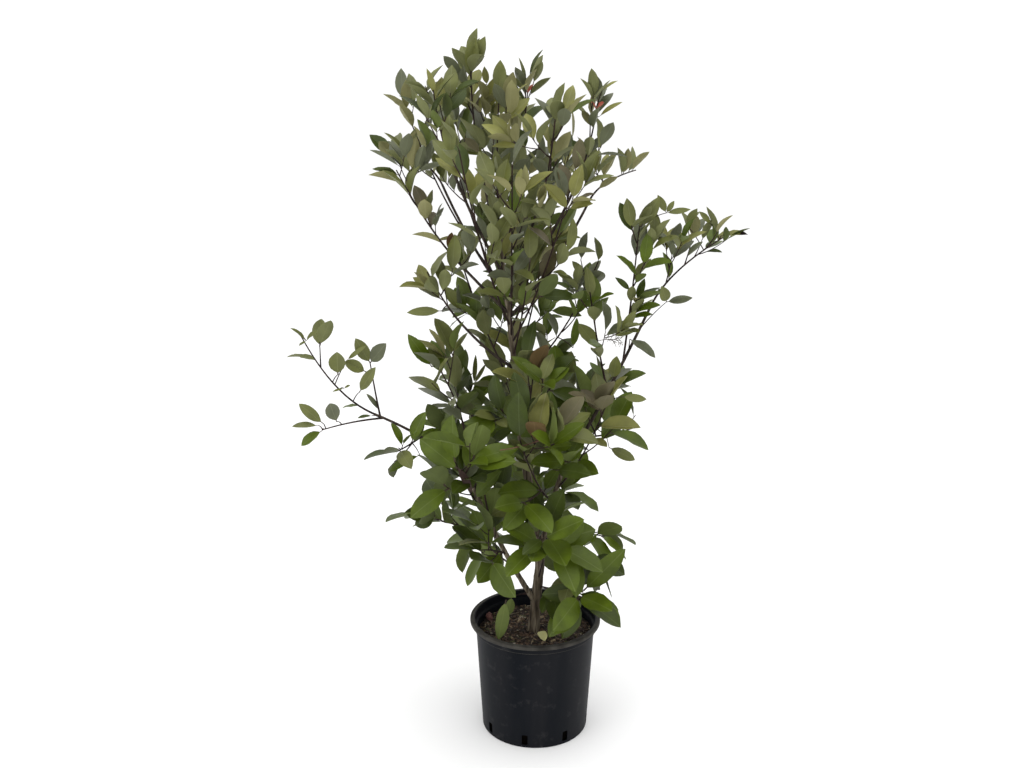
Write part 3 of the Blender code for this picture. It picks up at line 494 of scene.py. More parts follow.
# %% Directions of growth
GOLDEN_ANGLE = math.radians(137.5)
RISE_HEIGHTS = (0.5, 1.2)


def distance_to(line, point):
    """How far a point is from a line."""
    nearest = []
    for here, there in zip(line, line[1:]):
        run = there - here
        t = max(0.0, min(1.0, (point - here).dot(run) / run.length_squared))
        nearest.append((here + run * t - point).length)
    return min(nearest)


def height_share(height):
    """How near a height is to the shrub's top, from 0 to 1."""
    low, high = RISE_HEIGHTS
    return max(0.0, min(1.0, (height - low) / (high - low)))


def rise_at(point, rises):
    """How much shoots and leaves turn to the sky: little low on the shrub, and more at its top."""
    return rises[0] + (rises[1] - rises[0]) * height_share(point.z)


def fan_out(ahead, roll, spread, rise):
    """A direction that leaves a shoot at an angle, rolled round it and lifted a little."""
    out = Matrix.Rotation(roll, 3, ahead) @ ahead.orthogonal().normalized()
    return (ahead * math.cos(spread) + out * math.sin(spread) + UP * rise).normalized()


print("each bud is turned", round(math.degrees(GOLDEN_ANGLE), 1), "degrees from the last")

# %% Twigs of the solids
TWIG_SPREAD, TWIG_SPREAD_VARIES = math.radians(42), 0.2
TWIG_BARE, TWIG_TOP = 0.30, 0.88
TWIG_LENGTHS, TWIG_LENGTH_VARIES = (1.15, 0.65), (0.75, 1.0)
TWIG_RISES = (0.15, 0.45)
PLACE_VARIES = (0.2, 0.8)
LEAF_FLOOR = 0.239  # nothing grows lower, as the potting mix is there
TRIES = 8
Shoot = namedtuple("Shoot", "line place leaves share")  # share: where it leaves its stem


def grow_twigs(mass, stem, crowd, rng):
    """The side twigs of a mass, as shoots that have no leaves yet."""
    twigs = []
    roll = rng.uniform(0, 2 * math.pi)
    for n in range(mass.twigs):
        share = mass.bare + (TWIG_TOP - mass.bare) * (n + rng.uniform(*PLACE_VARIES)) / mass.twigs
        start, ahead = along_line(stem, share)
        low, high = TWIG_LENGTHS
        size = mass.reach * rng.uniform(*TWIG_LENGTH_VARIES) * (low + (high - low) * share)
        for _ in range(TRIES):
            roll += GOLDEN_ANGLE
            spread = TWIG_SPREAD + rng.uniform(-TWIG_SPREAD_VARIES, TWIG_SPREAD_VARIES)
            end = start + fan_out(ahead, roll, spread, rise_at(start, TWIG_RISES)) * size
            line = [start, end]
            cage = tube_cage(line, tapered(TWIG_RADII, line), TOUCH_MARGIN)
            if end.z > LEAF_FLOOR + mass.leaf and not crowd.touched_by(mass.name, cage):
                twigs.append(Shoot(line, crowd.add(mass.name, cage, cage), [], share))
                break
    return twigs


print("up to", sum(mass.twigs for mass in MASSES), "side twigs on", len(MASSES), "stems")

# %% One leaf on a shoot
LEAF_STEP = 1.10
LEAF_SPREAD = (math.radians(42), math.radians(72))
END_LEAF_SPREAD, END_LEAF_SHARES = (math.radians(8), math.radians(30)), (0.86, 1.0)
LEAF_TURN, LEAF_RISES = 0.6, (0.0, 0.45)
LEAF_SIZES, LEAF_WIDTHS = (1.00, 1.25), (0.46, 0.52)
LEAF_ROOT_DEPTH = 0.0002


def leaf_shares(line, bare, step, rng):
    """Where the leaves of a shoot sit, as shares of its length."""
    run = END_LEAF_SHARES[0] - bare
    count = round(run * length_of(line) / step)
    shares = [bare + run * (n + rng.uniform(*PLACE_VARIES)) / count for n in range(count)]
    return [*shares, *END_LEAF_SHARES]


def place_leaf(line, share, roll, spread, size, widths, rng):
    """A leaf at a share of its shoot's line, rolled round it and turned to the light."""
    start, ahead = along_line(line, share)
    along = fan_out(ahead, roll, spread, rise_at(start, LEAF_RISES))
    face = ahead + UP
    face = (face - along * face.dot(along)).normalized()
    face = Matrix.Rotation(rng.uniform(-LEAF_TURN, LEAF_TURN), 3, along) @ face
    return Leaf(start - along * LEAF_ROOT_DEPTH, along, face, size, size * rng.uniform(*widths), share)


def settle(leaf, mass, stem, shoot, crowd):
    """Give a leaf its place in the crowd if it has room there and stays within its mass."""
    end = leaf.root + leaf.along * leaf.length
    if end.z < LEAF_FLOOR or distance_to(stem, end) > mass.reach + mass.leaf:
        return False
    cage, inner_cage = leaf_cage(leaf, TOUCH_MARGIN), leaf_cage(leaf, TOUCH_MARGIN / 2, BUD_SHARE)
    if crowd.touched_by(mass.name, cage, inner_cage, shoot.place):
        return False
    crowd.add(mass.name, cage, inner_cage)
    shoot.leaves.append(leaf)
    return True


print("leaves are", LEAF_WIDTHS[0], "to", LEAF_WIDTHS[1], "times as wide as they are long")

# %% Leaves of the solids
def grow_leaves(mass, stem, shoot, bare, crowd, rng):
    """Set leaves along a shoot, each at the first turn round it that has room."""
    roll = rng.uniform(0, 2 * math.pi)
    for share in leaf_shares(shoot.line, bare, mass.leaf * LEAF_STEP, rng):
        size = mass.leaf * rng.uniform(*LEAF_SIZES)
        for _ in range(TRIES):
            roll += GOLDEN_ANGLE
            spread = rng.uniform(*(END_LEAF_SPREAD if share == 1 else LEAF_SPREAD))
            leaf = place_leaf(shoot.line, share, roll, spread, size, LEAF_WIDTHS, rng)
            if settle(leaf, mass, stem, shoot, crowd):
                break


def grow(mass, stem, crowd):
    """A mass's stem and side twigs as shoots with their leaves, the same on each run."""
    rng = random.Random(mass.seed)
    twigs = grow_twigs(mass, stem, crowd, rng)
    shoots = [Shoot(stem, crowd.stems[mass.name], [], None), *twigs]
    for shoot in shoots:
        grow_leaves(mass, stem, shoot, mass.bare if shoot is shoots[0] else TWIG_BARE, crowd, rng)
    return shoots


def count_leaves(shoots):
    return sum(len(shoot.leaves) for group in shoots.values() for shoot in group)


shoots = {mass.name: grow(mass, coarse_lines[mass.name], crowd) for mass in MASSES}
print(sum(map(len, shoots.values())), "shoots with", count_leaves(shoots), "leaves, as on the solids")

# %% [markdown]
# ## Smooth courses
# The solids have straight twigs on stems of three pieces, since their file has to stay small. Real
# wood bends all the way, sags under its leaves and rises again at its tip. What is drawn here
# takes such a course, and each twig and leaf moves with the shoot that carries it, so everything
# sits on wood from every side. The crowd is then built afresh round the smooth courses.

# %% Shoots on their smooth courses
TWIG_BOW = 0.06  # of a twig's length, downwards at its middle
TWIG_PIECES = 6
REAL_SHARE = 0.96  # the solids' leaves are a little larger than life


def bowed(foot, tip):
    """A twig's line from its foot to its tip, sagging a little on its way."""
    sag = UP * TWIG_BOW * 2 * (tip - foot).length
    return bend(foot, (foot + tip) / 2 - sag, tip, TWIG_PIECES)


def smoothed(mass, shoot, crowd):
    """A shoot of the solids on its smooth course, with its leaves at their real size."""
    stem = fine_lines[mass.name]
    if shoot.share is None:
        smooth = Shoot(stem, crowd.stems[mass.name], [], None)
    else:
        line = bowed(along_line(stem, shoot.share)[0], shoot.line[-1])
        cage = tube_cage(line, tapered(TWIG_RADII, line), TOUCH_MARGIN)
        smooth = Shoot(line, crowd.add(mass.name, cage, cage), [], shoot.share)
    for leaf in shoot.leaves:
        root = along_line(smooth.line, leaf.share)[0] - leaf.along * LEAF_ROOT_DEPTH
        leaf = leaf._replace(root=root, length=leaf.length * REAL_SHARE, width=leaf.width * REAL_SHARE)
        smooth.leaves.append(leaf)
        crowd.add(mass.name, leaf_cage(leaf, TOUCH_MARGIN),
                  leaf_cage(leaf, TOUCH_MARGIN / 2, BUD_SHARE))
    return smooth


crowd = first_crowd(fine_lines, draw_radii(fine_lines))
shoots = {mass.name: [smoothed(mass, shoot, crowd) for shoot in shoots[mass.name]] for mass in MASSES}
print(len(crowd.bodies), "limbs, shoots and leaves in the crowd")

# %% [markdown]
# ## Finer shoots
# The solids stop where their file would grow too heavy, and a real shrub doesn't. So the rule goes
# one step further here: short shoots leave the stems and twigs, with most of their leaves in a
# loose whorl near the end, as a photinia's season of growth ends. A leaf that would leave its
# mass's own reach isn't kept, so that the crown keeps its outline and its gaps.

# %% Plans of the finer shoots
FINE_SPREAD = (math.radians(22), math.radians(62))
FINE_LENGTHS = (0.20, 0.80)  # as shares of the mass's reach
FINE_PLACES = (0.25, 0.97)  # along the shoot that carries it
FINE_LEAVES = (3, 6)
FINE_LEAF_START, FINE_LEAF_GATHER = 0.40, 0.6  # leaves gather towards the shoot's end
FINE_LEAF_SPREAD = (math.radians(30), math.radians(70))
FINE_LEAF_SIZES, FINE_LEAF_WIDTHS = (0.70, 1.14), (0.38, 0.50)


def plan_fine_shoot(mass, carriers, seed):
    """What carries a finer shoot, its line, and its leaves before they are tested for room."""
    rng = random.Random(seed)
    carrier = carriers[rng.randrange(len(carriers))]
    start, ahead = along_line(carrier.line, rng.uniform(*FINE_PLACES))
    roll, spread = rng.uniform(0, 2 * math.pi), rng.uniform(*FINE_SPREAD)
    way = fan_out(ahead, roll, spread, rise_at(start, TWIG_RISES))
    line = bowed(start, start + way * mass.reach * rng.uniform(*FINE_LENGTHS))
    count = rng.randint(*FINE_LEAVES)
    leaves = []
    for n in range(count):
        share = FINE_LEAF_START + (1 - FINE_LEAF_START) * ((n + 1) / count) ** FINE_LEAF_GATHER
        roll += GOLDEN_ANGLE
        spread = rng.uniform(*(END_LEAF_SPREAD if n == count - 1 else FINE_LEAF_SPREAD))
        size = mass.leaf * rng.uniform(*FINE_LEAF_SIZES)
        leaves.append(place_leaf(line, share, roll, spread, size, FINE_LEAF_WIDTHS, rng))
    return carrier, line, leaves


print("a finer shoot has", FINE_LEAVES[0], "to", FINE_LEAVES[1], "leaves")

# %% Finer shoots and their leaves
FINE_RADII = (0.0015, 0.0011)
BOX_MARGIN = 0.004  # kept free inside the solid model's box


def inside_box(point):
    """Whether a point is well inside the solid model's box."""
    bounds = zip(cad_box[0], point, cad_box[1])
    return all(low + BOX_MARGIN < place < high - BOX_MARGIN for low, place, high in bounds)


def grow_fine_shoot(mass, stem, carriers, seed, crowd):
    """One finer shoot with those of its leaves that have room, or None where it has none itself."""
    carrier, line, leaves = plan_fine_shoot(mass, carriers, seed)
    cage = tube_cage(line, tapered(FINE_RADII, line), TOUCH_MARGIN / 2)
    too_low = line[-1].z < LEAF_FLOOR + mass.leaf
    if too_low or crowd.touched_by(mass.name, cage, cage, carrier.place):
        return None
    shoot = Shoot(line, crowd.add(mass.name, cage, cage), [], None)
    for leaf in leaves:
        if inside_box(leaf.root + leaf.along * leaf.length):
            settle(leaf, mass, stem, shoot, crowd)
    return shoot


carriers = {name: list(group) for name, group in shoots.items()}
for turn in range(max(map(len, FINE_SHOOTS.values()))):
    for mass in MASSES:
        seeds = FINE_SHOOTS.get(mass.name, ())
        if turn < len(seeds):
            stem = coarse_lines[mass.name]
            shoot = grow_fine_shoot(mass, stem, carriers[mass.name], seeds[turn], crowd)
            if shoot:
                shoots[mass.name].append(shoot)
print(sum(map(len, shoots.values())), "shoots with", count_leaves(shoots), "leaves so far")

# %% [markdown]
# ## Leaves between
# Behind the whorl a shoot keeps a few single leaves, and older wood drops most of its own. So the
# last leaves are set one by one: each picks a shoot of its mass, a share of it and a turn round it
# from its seed, and stays only where it has room.

# %% Single leaves
LONE_PLACES = (0.10, 1.0)
LONE_LEAF_SPREAD = (math.radians(20), math.radians(80))
LONE_LEAF_SIZES, LONE_LEAF_WIDTHS = (0.55, 1.15), (0.36, 0.50)


def plan_lone_leaf(mass, group, seed):
    """A single leaf and the shoot that it sits on."""
    rng = random.Random(seed)
    shoot = group[rng.randrange(len(group))]
    share, roll = rng.uniform(*LONE_PLACES), rng.uniform(0, 2 * math.pi)
    spread, size = rng.uniform(*LONE_LEAF_SPREAD), mass.leaf * rng.uniform(*LONE_LEAF_SIZES)
    return shoot, place_leaf(shoot.line, share, roll, spread, size, LONE_LEAF_WIDTHS, rng)


for turn in range(max(map(len, LONE_LEAVES.values()))):
    for mass in MASSES:
        seeds = LONE_LEAVES.get(mass.name, ())
        if turn < len(seeds):
            shoot, leaf = plan_lone_leaf(mass, shoots[mass.name], seeds[turn])
            if inside_box(leaf.root + leaf.along * leaf.length):
                settle(leaf, mass, coarse_lines[mass.name], shoot, crowd)
print(sum(map(len, LONE_LEAVES.values())), "seeds tried, and", count_leaves(shoots), "leaves in all")

# %% [markdown]
# ## Leaves that each stand by themselves
# Where the shrub is thin the eye counts single leaves: two that hang into the pot, a broad pair on
# the left, two on the whorl low on the right, those along both arms and a few at the crown's edge.
# A seed could be searched for each, but a row of places says it more plainly: which limb carries it
# and how far along, where its twig ends, where each leaf's tip is and how wide it is. What grew
# there before is stripped off first, shoot by shoot, and so is a leaf that hides the trunk's fork.

# %% Own places low down and on the left arm
BACKWARDS, FORWARDS, UPWARDS = (0.3, 0.9, 0.3), (0.0, -1.0, 0.4), (0.0, -0.5, 1.0)
OWN_LEAVES = [  # mass, limb, share of the limb, end of the twig, way the leaves face, tips and widths
    ("low_front_left", "left_stem", 0.10, (-0.067, -0.050, 0.336), BACKWARDS,
     (((-0.083, -0.070, 0.247), 0.031),)),
    ("low_front_left", "left_stem", 0.08, (-0.054, -0.010, 0.324), BACKWARDS,
     (((-0.061, -0.016, 0.281), 0.021),)),
    ("low_left", "low_left", 0.84, (-0.222, -0.068, 0.548), FORWARDS,
     (((-0.284, -0.096, 0.568), 0.035), ((-0.266, -0.086, 0.533), 0.032))),
    ("low_right_front", "low_right_front", 0.98, (0.106, -0.084, 0.376), FORWARDS,
     (((0.184, -0.150, 0.496), 0.044), ((0.016, -0.120, 0.382), 0.040))),
    ("left_arm_low", "left_arm_low", 0.68, (-0.424, -0.100, 0.775), FORWARDS,
     (((-0.441, -0.085, 0.813), 0.034),)),
    ("left_arm_low", "left_arm_low", 0.94, (-0.453, -0.104, 0.773), FORWARDS,
     (((-0.502, -0.108, 0.818), 0.026),)),
    ("left_arm_low", "left_arm_low", 0.99, (-0.463, -0.108, 0.769), UPWARDS,
     (((-0.518, -0.115, 0.776), 0.020),)),
    ("left_arm_low", "left_arm_low", 0.97, (-0.456, -0.103, 0.756), UPWARDS,
     (((-0.503, -0.116, 0.730), 0.026),)),
    ("left_arm_low", "left_arm_low", 0.06, (-0.352, -0.080, 0.782), UPWARDS,
     (((-0.382, -0.090, 0.785), 0.010),)),
    ("left_arm_tip", "left_arm_tip", 0.96, (-0.481, -0.098, 0.951), UPWARDS,
     (((-0.507, -0.110, 0.985), 0.013), ((-0.458, -0.105, 0.976), 0.016),
      ((-0.495, -0.112, 0.946), 0.009))),
    ("left_arm_tip", "left_arm_tip", 0.47, (-0.419, -0.090, 0.876), FORWARDS,
     (((-0.421, -0.082, 0.924), 0.041),)),
    ("left_arm_tip", "left_arm_tip", 0.44, (-0.404, -0.055, 0.898), FORWARDS,
     (((-0.364, -0.070, 0.934), 0.012),)),
    ("left_arm_tip", "left_arm_tip", 0.38, (-0.409, -0.080, 0.843), UPWARDS,
     (((-0.434, -0.084, 0.838), 0.007), ((-0.396, -0.084, 0.853), 0.008))),
    ("left_arm_tip", "left_arm_tip", 0.22, (-0.376, -0.085, 0.836), FORWARDS,
     (((-0.341, -0.100, 0.894), 0.027),)),
    ("left_arm_up", "left_arm_up", 0.90, (-0.356, -0.045, 0.889), FORWARDS,
     (((-0.383, -0.060, 0.945), 0.033), ((-0.321, -0.062, 0.936), 0.036))),
    ("left_arm_up", "left_arm_up", 0.70, (-0.364, -0.060, 0.874), FORWARDS,
     (((-0.408, -0.068, 0.899), 0.030),)),
    ("left_arm_foot", "left_arm_foot", 0.37, (-0.250, -0.098, 0.700), UPWARDS,
     (((-0.317, -0.112, 0.669), 0.023),)),
]
print(len(OWN_LEAVES), "twigs with leaves of their own so far")

# %% Own places on the crown and the right arm
OWN_LEAVES += [
    ("waist_left", "waist_left", 0.35, (-0.201, -0.045, 1.003), FORWARDS,
     (((-0.275, -0.060, 1.004), 0.024),)),
    ("middle_left", "middle_left", 0.97, (-0.224, -0.048, 0.881), FORWARDS,
     (((-0.271, -0.070, 0.958), 0.034),)),
    ("arm_inner", "arm_inner", 0.98, (0.263, -0.055, 1.211), FORWARDS,
     (((0.244, -0.060, 1.249), 0.021), ((0.278, -0.060, 1.237), 0.015),
      ((0.311, -0.070, 1.222), 0.017))),
    ("arm_tip", "arm_tip", 0.75, (0.313, 0.005, 1.179), FORWARDS,
     (((0.334, -0.005, 1.213), 0.022),)),
    ("arm_tip", "arm_tip", 0.93, (0.366, 0.010, 1.178), FORWARDS,
     (((0.341, 0.005, 1.206), 0.017),)),
    ("arm_foot", "arm_foot", 0.45, (0.159, -0.030, 0.693), FORWARDS,
     (((0.217, -0.050, 0.671), 0.025),)),
    ("waist_right", "waist_right", 0.42, (0.078, -0.010, 0.913), FORWARDS,
     (((0.085, -0.020, 0.982), 0.021),)),
    ("middle_right", "middle_right", 0.97, (0.178, -0.105, 0.832), FORWARDS,
     (((0.229, -0.115, 0.830), 0.020),)),
    ("arm_inner", "arm_inner", 0.50, (0.194, -0.055, 1.049), FORWARDS,
     (((0.162, -0.065, 1.079), 0.016),)),
    ("top_right", "top_right", 0.80, (0.123, -0.025, 1.402), UPWARDS,
     (((0.167, -0.030, 1.438), 0.018),)),
    ("top_right", "top_right", 0.97, (0.128, -0.025, 1.453), UPWARDS,
     (((0.158, -0.030, 1.477), 0.015),)),
    ("peak", "peak", 0.80, (-0.105, 0.032, 1.462), FORWARDS,
     (((-0.110, 0.025, 1.500), 0.019),)),
    ("middle_back_left", "middle_back_left", 0.97, (-0.139, 0.092, 0.802), FORWARDS,
     (((-0.135, 0.085, 0.872), 0.012), ((-0.113, 0.085, 0.851), 0.010))),
    ("arm_inner", "right_arm", 0.47, (0.161, -0.066, 0.860), FORWARDS,
     (((0.167, -0.080, 0.913), 0.030),)),
    ("arm_inner", "right_arm", 0.67, (0.196, -0.050, 0.943), UPWARDS,
     (((0.253, -0.070, 0.911), 0.027), ((0.231, -0.090, 0.928), 0.019))),
    ("arm_inner", "right_arm", 0.80, (0.272, -0.040, 1.021), FORWARDS,
     (((0.261, -0.065, 1.056), 0.029), ((0.325, -0.055, 1.034), 0.021))),
    ("arm_inner", "arm_inner", 0.96, (0.212, -0.056, 1.182), FORWARDS,
     (((0.245, -0.075, 1.247), 0.036),)),
    ("peak", "peak", 0.90, (-0.137, 0.018, 1.491), FORWARDS, (((-0.109, 0.000, 1.560), 0.036),)),
    ("arm_tip", "arm_tip", 0.93, (0.388, -0.006, 1.156), UPWARDS, ()),  # for a burnt leaf
]
print(sum(len(row[-1]) for row in OWN_LEAVES), "leaves with places of their own")

# %% Leaves to strip
STRIPPED = {  # leaves by number, for each shoot of a mass
    "left_arm_foot": {1: (0, 1), 2: (0, 1)}, "low_left": {2: (0, 1)}, "low_right": {2: (0,)},
    "middle_left": {2: (1,)}, "waist_left": {0: (2,)}, "shoulder_left": {0: (3,)},
    "top_left": {3: (1,)}, "top_right": {3: (1,)}, "shoulder_right": {2: (0, 1)},
    "waist_right": {3: (0,)}, "arm_tip": {0: (3,)}, "arm_inner": {0: (1,)},
    "arm_foot": {0: (2,), 2: (1,)},
    "left_arm_low": {0: (0, 1, 2), 1: (0, 1), 2: (0, 1, 2, 3), 3: (0, 1)},
    "left_arm_tip": {0: (0, 2, 3), 1: (0, 1, 2), 2: (2,), 3: (0, 1, 2, 3), 4: (0, 1, 2)},
    "left_arm_up": {0: (0, 1, 2, 3, 5), 1: (0, 1, 2), 2: (0, 1), 3: (0,), 4: (0, 1)},
}
FORK_REACH, FORK_HEIGHT = 0.020, 0.42  # kept free of leaves, in front of the trunk


def hides_fork(leaf):
    """Whether a leaf's middle is low down, right in front of the trunk."""
    middle = leaf.root + leaf.along * leaf.length / 2
    return abs(middle.x) < FORK_REACH and middle.y < -FORK_REACH and middle.z < FORK_HEIGHT


def strip(shoot, lost):
    """A shoot without the leaves of some numbers, and without those that hide the fork."""
    leaves = [leaf for n, leaf in enumerate(shoot.leaves) if n not in lost and not hides_fork(leaf)]
    return shoot._replace(leaves=leaves)


grown = count_leaves(shoots)
for name, group in shoots.items():
    lost = STRIPPED.get(name, {})
    kept = [strip(shoot, lost.get(n, ())) for n, shoot in enumerate(group)]
    shoots[name] = [shoot for n, shoot in enumerate(kept) if shoot.leaves or n == 0 or n not in lost]
print(grown - count_leaves(shoots), "leaves stripped, and", count_leaves(shoots), "left")

# %% Leaves set in their own places
OWN_TWIG_RISE, OWN_TWIG_PIECES = 0.006, 6


def leaf_between(root, tip, face, width):
    """A leaf from its root to its tip, its upper side turned towards a direction."""
    root, along = Vector(root), Vector(tip) - Vector(root)
    length = along.length
    along.normalize()
    face = (Vector(face) - along * along.dot(Vector(face))).normalized()
    return Leaf(root, along, face, length, width, 1.0)


for mass_name, limb_name, share, root, face, ends in OWN_LEAVES:
    foot, _ = along_line(fine_lines[limb_name], share)
    root = Vector(root)
    line = bend(foot, (foot + root) / 2 + UP * OWN_TWIG_RISE, root, OWN_TWIG_PIECES)
    leaves = [leaf_between(line[-1], tip, face, width) for tip, width in ends]
    shoots[mass_name].append(Shoot(line, None, leaves, None))
print(count_leaves(shoots), "leaves on", sum(map(len, shoots.values())), "shoots")

# %% [markdown]
# ## Helpers for pieces and finishes
# Every piece ends the same way: its mesh becomes an object at the origin that rides on the one
# body of the part and stands for solids of the frame. Most finishes here are one colour that
# wanders, as on anything grown or worn. A noise drives the colour, the gloss and a little relief
# at once, so the three always agree.

# %% Piece helper
def finish_piece(name, mesh, finishes, nodes, sharp=180):
    """Make an object of a mesh, with its finishes, in place of its solids.

    Edges that turn by more degrees than sharp stay sharp, and all others are shaded smooth.
    """
    piece = bpy.data.objects.new(name, mesh)
    bpy.context.scene.collection.objects.link(piece)
    for finish in finishes:
        mesh.materials.append(finish)
    mesh.shade_smooth()
    if sharp < 180:
        mesh.set_sharp_from_angle(angle=math.radians(sharp))
    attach(piece, "root")
    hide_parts(*nodes)
    print(name, len(mesh.polygons), "faces, for", len(nodes), "solids")
    return piece


def mesh_of(name, bm):
    """A mesh made of a bmesh, which is freed."""
    mesh = bpy.data.meshes.new(name)
    bm.to_mesh(mesh)
    bm.free()
    return mesh


print(len(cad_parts), "solids wait for a piece in their place")

# %% Finish helper
TINT_ENDS = (0.32, 0.68)  # of the noise, where the first and the last tint are reached


def wandering_finish(name, tints, scale, roughness, stretch=(1, 1, 1), bump=0.0, depth=0.001):
    """A finish whose tint and gloss wander with a noise on Object coordinates."""
    finish = bpy.data.materials.new(name)
    finish.use_nodes = True
    nodes, links = finish.node_tree.nodes, finish.node_tree.links
    shader = nodes["Principled BSDF"]
    place = nodes.new("ShaderNodeTexCoord")
    mapping = nodes.new("ShaderNodeMapping")
    mapping.inputs["Scale"].default_value = stretch
    patches = nodes.new("ShaderNodeTexNoise")
    patches.inputs["Scale"].default_value = scale
    patches.inputs["Detail"].default_value = 5.0
    ramp = nodes.new("ShaderNodeValToRGB")
    stops = ramp.color_ramp.elements
    stops[0].position, stops[1].position = first, last = TINT_ENDS
    stops[0].color, stops[1].color = (*tints[0], 1.0), (*tints[-1], 1.0)
    for n, tint in enumerate(tints[1:-1], 1):
        stops.new(first + (last - first) * n / (len(tints) - 1)).color = (*tint, 1.0)
    gloss = nodes.new("ShaderNodeMapRange")
    gloss.inputs["To Min"].default_value, gloss.inputs["To Max"].default_value = roughness
    links.new(place.outputs["Object"], mapping.inputs["Vector"])
    links.new(mapping.outputs["Vector"], patches.inputs["Vector"])
    links.new(patches.outputs["Fac"], ramp.inputs["Fac"])
    links.new(ramp.outputs["Color"], shader.inputs["Base Color"])
    links.new(patches.outputs["Fac"], gloss.inputs["Value"])
    links.new(gloss.outputs["Result"], shader.inputs["Roughness"])
    if bump:
        relief = nodes.new("ShaderNodeBump")
        relief.inputs["Strength"].default_value = bump
        relief.inputs["Distance"].default_value = depth
        links.new(patches.outputs["Fac"], relief.inputs["Height"])
        links.new(relief.outputs["Normal"], shader.inputs["Normal"])
    return finish


print("tints blend between", TINT_ENDS[0], "and", TINT_ENDS[1], "of a noise")

# %% Layers over a finish
def lay_over(finish, amount, tint):
    """Mix a tint over a finish's colour, by as much as a socket says."""
    nodes, links = finish.node_tree.nodes, finish.node_tree.links
    base = nodes["Principled BSDF"].inputs["Base Color"]
    mix = nodes.new("ShaderNodeMix")
    mix.data_type = "RGBA"
    mix.inputs["B"].default_value = (*tint, 1.0)
    links.new(amount, mix.inputs["Factor"])
    links.new(base.links[0].from_socket, mix.inputs["A"])
    links.new(mix.outputs["Result"], base)


def set_sheen(finish, level):
    """Set how strongly a finish mirrors the sky, and return the finish."""
    finish.node_tree.nodes["Principled BSDF"].inputs["Specular IOR Level"].default_value = level
    return finish


print("finishes are made so far:", len(bpy.data.materials))

# %% [markdown]
# ## The nursery pot
# The real pot is injection-moulded black polypropylene: a wall 3 mm thick that widens upwards, a
# stepped skirt under a lip, and drain slots round its foot. A cylinder with modifiers could do,
# but a moulded, round thing is drawn best as its profile, which is then spun once round.

# %% Sizes of the pot
POT_RIM_RADIUS, POT_HEIGHT = 0.150, 0.270
POT_BASE_RADIUS, POT_NECK_RADIUS = 0.122, 0.1364
POT_WALL, POT_FLOOR = 0.003, 0.004
RIM_FOOT = POT_HEIGHT - 0.009
SKIRT_FOOT = RIM_FOOT - 0.013
SKIRT_RADIUS = POT_NECK_RADIUS + 0.005
POT_STEPS = 144


def inner_radius(height):
    """The radius of the pot's inner wall at a height below its skirt."""
    share = (height - POT_FLOOR) / (SKIRT_FOOT - POT_FLOOR)
    return POT_BASE_RADIUS - POT_WALL + (POT_NECK_RADIUS - POT_BASE_RADIUS) * share


print("pot", POT_RIM_RADIUS * 2, "m across and", POT_HEIGHT, "m high")

# %% Pot profile, spun
def spin_profile(outline, steps):
    """A closed bmesh from a profile of (radius, height) points that runs down its outer side."""
    bm = bmesh.new()
    points = [bm.verts.new((radius, 0, height)) for radius, height in outline]
    edges = [bm.edges.new(pair) for pair in zip(points, points[1:])]
    bmesh.ops.spin(bm, geom=[*points, *edges], cent=(0, 0, 0), axis=(0, 0, 1), angle=2 * math.pi,
                   steps=steps, use_merge=True)
    bmesh.ops.remove_doubles(bm, verts=bm.verts, dist=1e-6)
    bmesh.ops.recalc_face_normals(bm, faces=bm.faces)
    return bm


def rounded(corner, before, after, reach, points=4):
    """Points of a rounded corner of a profile, between the two edges that meet there."""
    corner, before, after = Vector(corner), Vector(before), Vector(after)
    start = corner + (before - corner).normalized() * reach
    end = corner + (after - corner).normalized() * reach
    line = bend(start, corner, end, points)
    return [tuple(point) for point in line]


profile = [
    (0, POT_FLOOR), (inner_radius(POT_FLOOR), POT_FLOOR), (inner_radius(SKIRT_FOOT), SKIRT_FOOT),
    (SKIRT_RADIUS - POT_WALL, SKIRT_FOOT + POT_WALL), (SKIRT_RADIUS - POT_WALL, POT_HEIGHT),
    (POT_RIM_RADIUS, POT_HEIGHT), (POT_RIM_RADIUS, RIM_FOOT), (SKIRT_RADIUS, RIM_FOOT),
    (SKIRT_RADIUS, SKIRT_FOOT), (POT_NECK_RADIUS, SKIRT_FOOT), (POT_BASE_RADIUS, 0), (0, 0),
]
ROUNDS = (0, 0.003, 0.001, 0.001, 0.002, 0.0035, 0.003, 0.001, 0.0012, 0.001, 0.003, 0)  # by corner
smooth_profile = [profile[0]]
for before, corner, after, reach in zip(profile, profile[1:], profile[2:], ROUNDS[1:]):
    smooth_profile += rounded(corner, before, after, reach)
smooth_profile.append(profile[-1])
pot_mesh = spin_profile(smooth_profile, POT_STEPS)
print("profile of", len(smooth_profile), "points,", len(pot_mesh.faces), "faces")

# %% Drain slots
SLOTS, SLOT_TURN = 8, math.radians(-11.6)
SLOT_WIDTH, SLOT_DEPTH, SLOT_HEIGHT, SLOT_FOOT = 0.014, 0.030, 0.026, 0.007
SLOT_ROUND = 0.003
pot_data = mesh_of("nursery_pot", pot_mesh)
slot_mesh = bmesh.new()
for n in range(SLOTS):
    turn = SLOT_TURN + n * 2 * math.pi / SLOTS
    place = Matrix.Rotation(turn, 4, "Z") @ Matrix.Translation(
        (0, -POT_BASE_RADIUS, SLOT_FOOT + SLOT_HEIGHT / 2))
    size = Matrix.Diagonal((SLOT_WIDTH, SLOT_DEPTH, SLOT_HEIGHT, 1))
    cube = bmesh.ops.create_cube(slot_mesh, size=1.0, matrix=place @ size)
    through = [edge for edge in {edge for vert in cube["verts"] for edge in vert.link_edges}
               if abs(edge.calc_length() - SLOT_DEPTH) < 1e-6]
    bmesh.ops.bevel(slot_mesh, geom=through, offset=SLOT_ROUND, offset_type="OFFSET", segments=3,
                    profile=0.5, affect="EDGES", material=-1)
